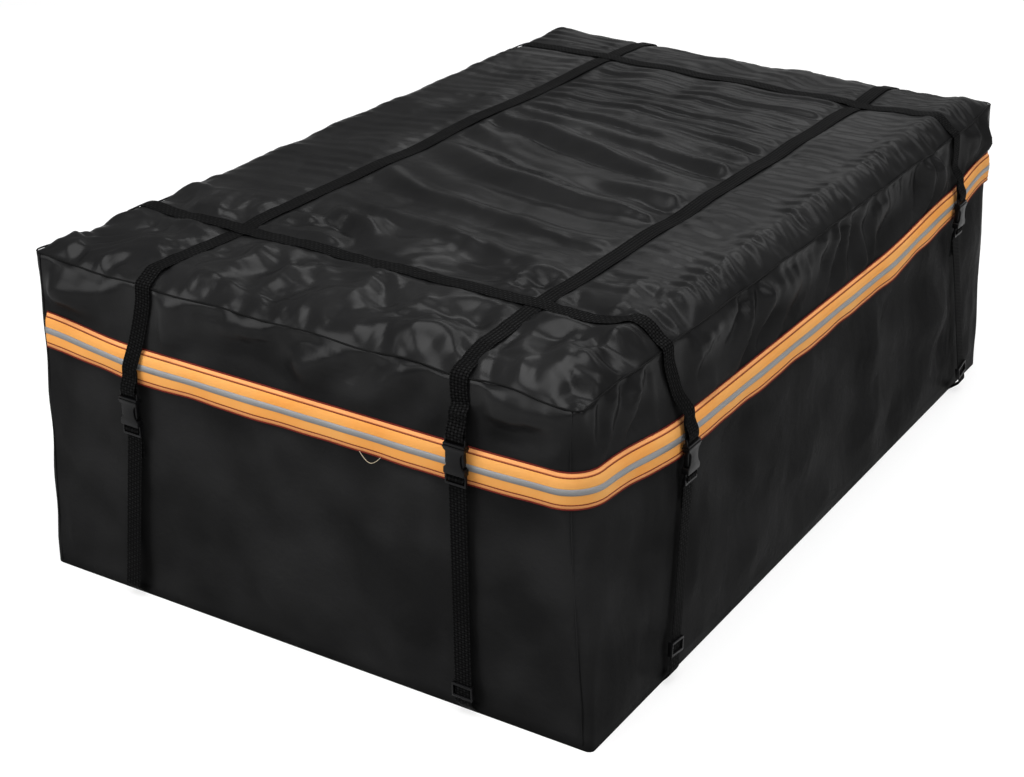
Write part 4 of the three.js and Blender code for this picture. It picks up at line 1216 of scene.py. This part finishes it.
def makeStrapStitches():
    for name, end in strapEnds.items():
        side = sideOf(name)
        run, out = np.array(sideways[side]), np.array(outward[side])
        bar = end["mouth"] + (maleBar + maleEnd) / 2
        middle = bar + stitchBox["rise"]
        face = buckle["out"] - buckle["sewnInset"] + webbing["thickness"] / 2 + 0.0001
        level = offWall(side, end["at"], end["mouth"], face)
        w, h = stitchBox["width"] / 2, stitchBox["height"] / 2
        rows = [[(-w, -h), (w, -h), (w, h), (-w, h), (-w, -h)], [(-w, -h), (w, h)], [(-w, h), (w, -h)]]
        bm = bmesh.new()
        for row in rows:
            line = []
            for (a, b), (c, d) in zip(row, row[1:]):
                for t in np.linspace(0, 1, 8):
                    height = middle + b + (d - b) * t
                    slope = 0.0014 * float(ease(1 - (height - bar) / 0.012))
                    spot = level + run * (a + (c - a) * t) + out * slope
                    line.append((spot[0], spot[1], height))
            stitchRow(bm, np.array(line), **boxStitch)
        finishPiece(f"strap_stitching_{name}", bm, "blackThread", smooth=False)


makeStrapStitches()
print("strap stitching made")


# Buckles and tri-glides

for name in strapEnds:
    softened(f"buckle_male_{name}", "bag", 0.00035)
    softened(f"buckle_female_{name}", f"female_{name}", 0.00035)
    if f"tri_glide_{name}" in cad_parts:
        softened(f"tri_glide_{name}", f"glide_{name}", 0.0004)
for node in ("zip_chain", "zip_slider_front", "zip_slider_rear", "zip_pull_front", "zip_pull_rear"):
    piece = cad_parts[node]
    piece.data.materials.clear()
    piece.data.materials.append(materials["zip"])
print("buckles made")


# Loose thread that hangs from the flap's lower edge

looseThread = {"at": (0.118, 0.150), "drop": 0.011, "radius": 0.00045}


def makeLooseThread():
    start, stop = looseThread["at"]
    points = []
    for t in np.linspace(0, 1, 9):
        x = start + (stop - start) * t
        height = float(flapMiddle(x, -halfLength)) - flap["height"] / 2 + 0.001
        height = height - looseThread["drop"] * math.sin(math.pi * t)
        points.append(offWall("front", x, height, 0.0052 + 0.001 * math.sin(3 * t)))
    bm = tube(smoothLine(points, 0.002), looseThread["radius"])
    finishPiece("loose_thread", bm, "paleThread")


makeLooseThread()

# Floor, lights and background

studio = {
    "floorSize": 9.0,
    "floorColour": (0.34, 0.34, 0.34),
    "cameraGlow": 0.72,
    "world": 0.22,
}
lampKeys = ("name", "place", "aim", "size", "power")
lamps = [dict(zip(lampKeys, row)) for row in (
    ("keyLight", (0.1, -0.9, 3.7), (0, 0, 0.3), (2.6, 2.6), 118),
    ("frontFill", (-2.0, -3.4, 2.2), (0, -0.2, 0.25), (2.4, 2.4), 86),
    ("rightFill", (3.6, -1.2, 2.6), (0, 0, 0.25), (2.4, 2.4), 57),
    ("lowBackLight", (-0.75, 4.1, 1.35), (0, 0, 0.45), (3.6, 1.6), 12.5),
    ("highBackLight", (0.3, 3.0, 3.7), (0, 0, 0.45), (5.4, 1.3), 80),
)]


def makeStudio():
    bm = bmesh.new()
    bmesh.ops.create_grid(bm, x_segments=1, y_segments=1, size=studio["floorSize"])
    mesh = bpy.data.meshes.new("floor")
    bm.to_mesh(mesh)
    bm.free()
    floor = bpy.data.objects.new("floor", mesh)
    scene.collection.objects.link(floor)
    material, tree, shader, _, _ = newMaterial("floorPaper", 0.9, 0.1)
    shader.inputs["Base Color"].default_value = (*studio["floorColour"], 1)
    path = tree.nodes.new("ShaderNodeLightPath")
    seen = mathNode(tree, "MAXIMUM", path.outputs["Is Glossy Ray"], path.outputs["Is Transmission Ray"])
    seen = mathNode(tree, "MAXIMUM", path.outputs["Is Camera Ray"], seen)
    shader.inputs["Emission Color"].default_value = (1, 1, 1, 1)
    feed(shader, "Emission Strength", mathNode(tree, "MULTIPLY", seen, studio["cameraGlow"]))
    mesh.materials.append(material)
    world = bpy.data.worlds.new("studioWorld")
    scene.world = world
    world.use_nodes = True
    background = world.node_tree.nodes["Background"]
    background.inputs["Color"].default_value = (1, 1, 1, 1)
    background.inputs["Strength"].default_value = studio["world"]
    for lamp in lamps:
        light = bpy.data.lights.new(lamp["name"], "AREA")
        light.shape = "RECTANGLE"
        light.size, light.size_y = lamp["size"]
        light.energy = lamp["power"]
        holder = bpy.data.objects.new(lamp["name"], light)
        holder.location = lamp["place"]
        way = Vector(lamp["aim"]) - Vector(lamp["place"])
        holder.rotation_euler = way.to_track_quat("-Z", "Y").to_euler()
        scene.collection.objects.link(holder)
    scene.view_settings.view_transform = "Standard"


makeStudio()
print("studio made")
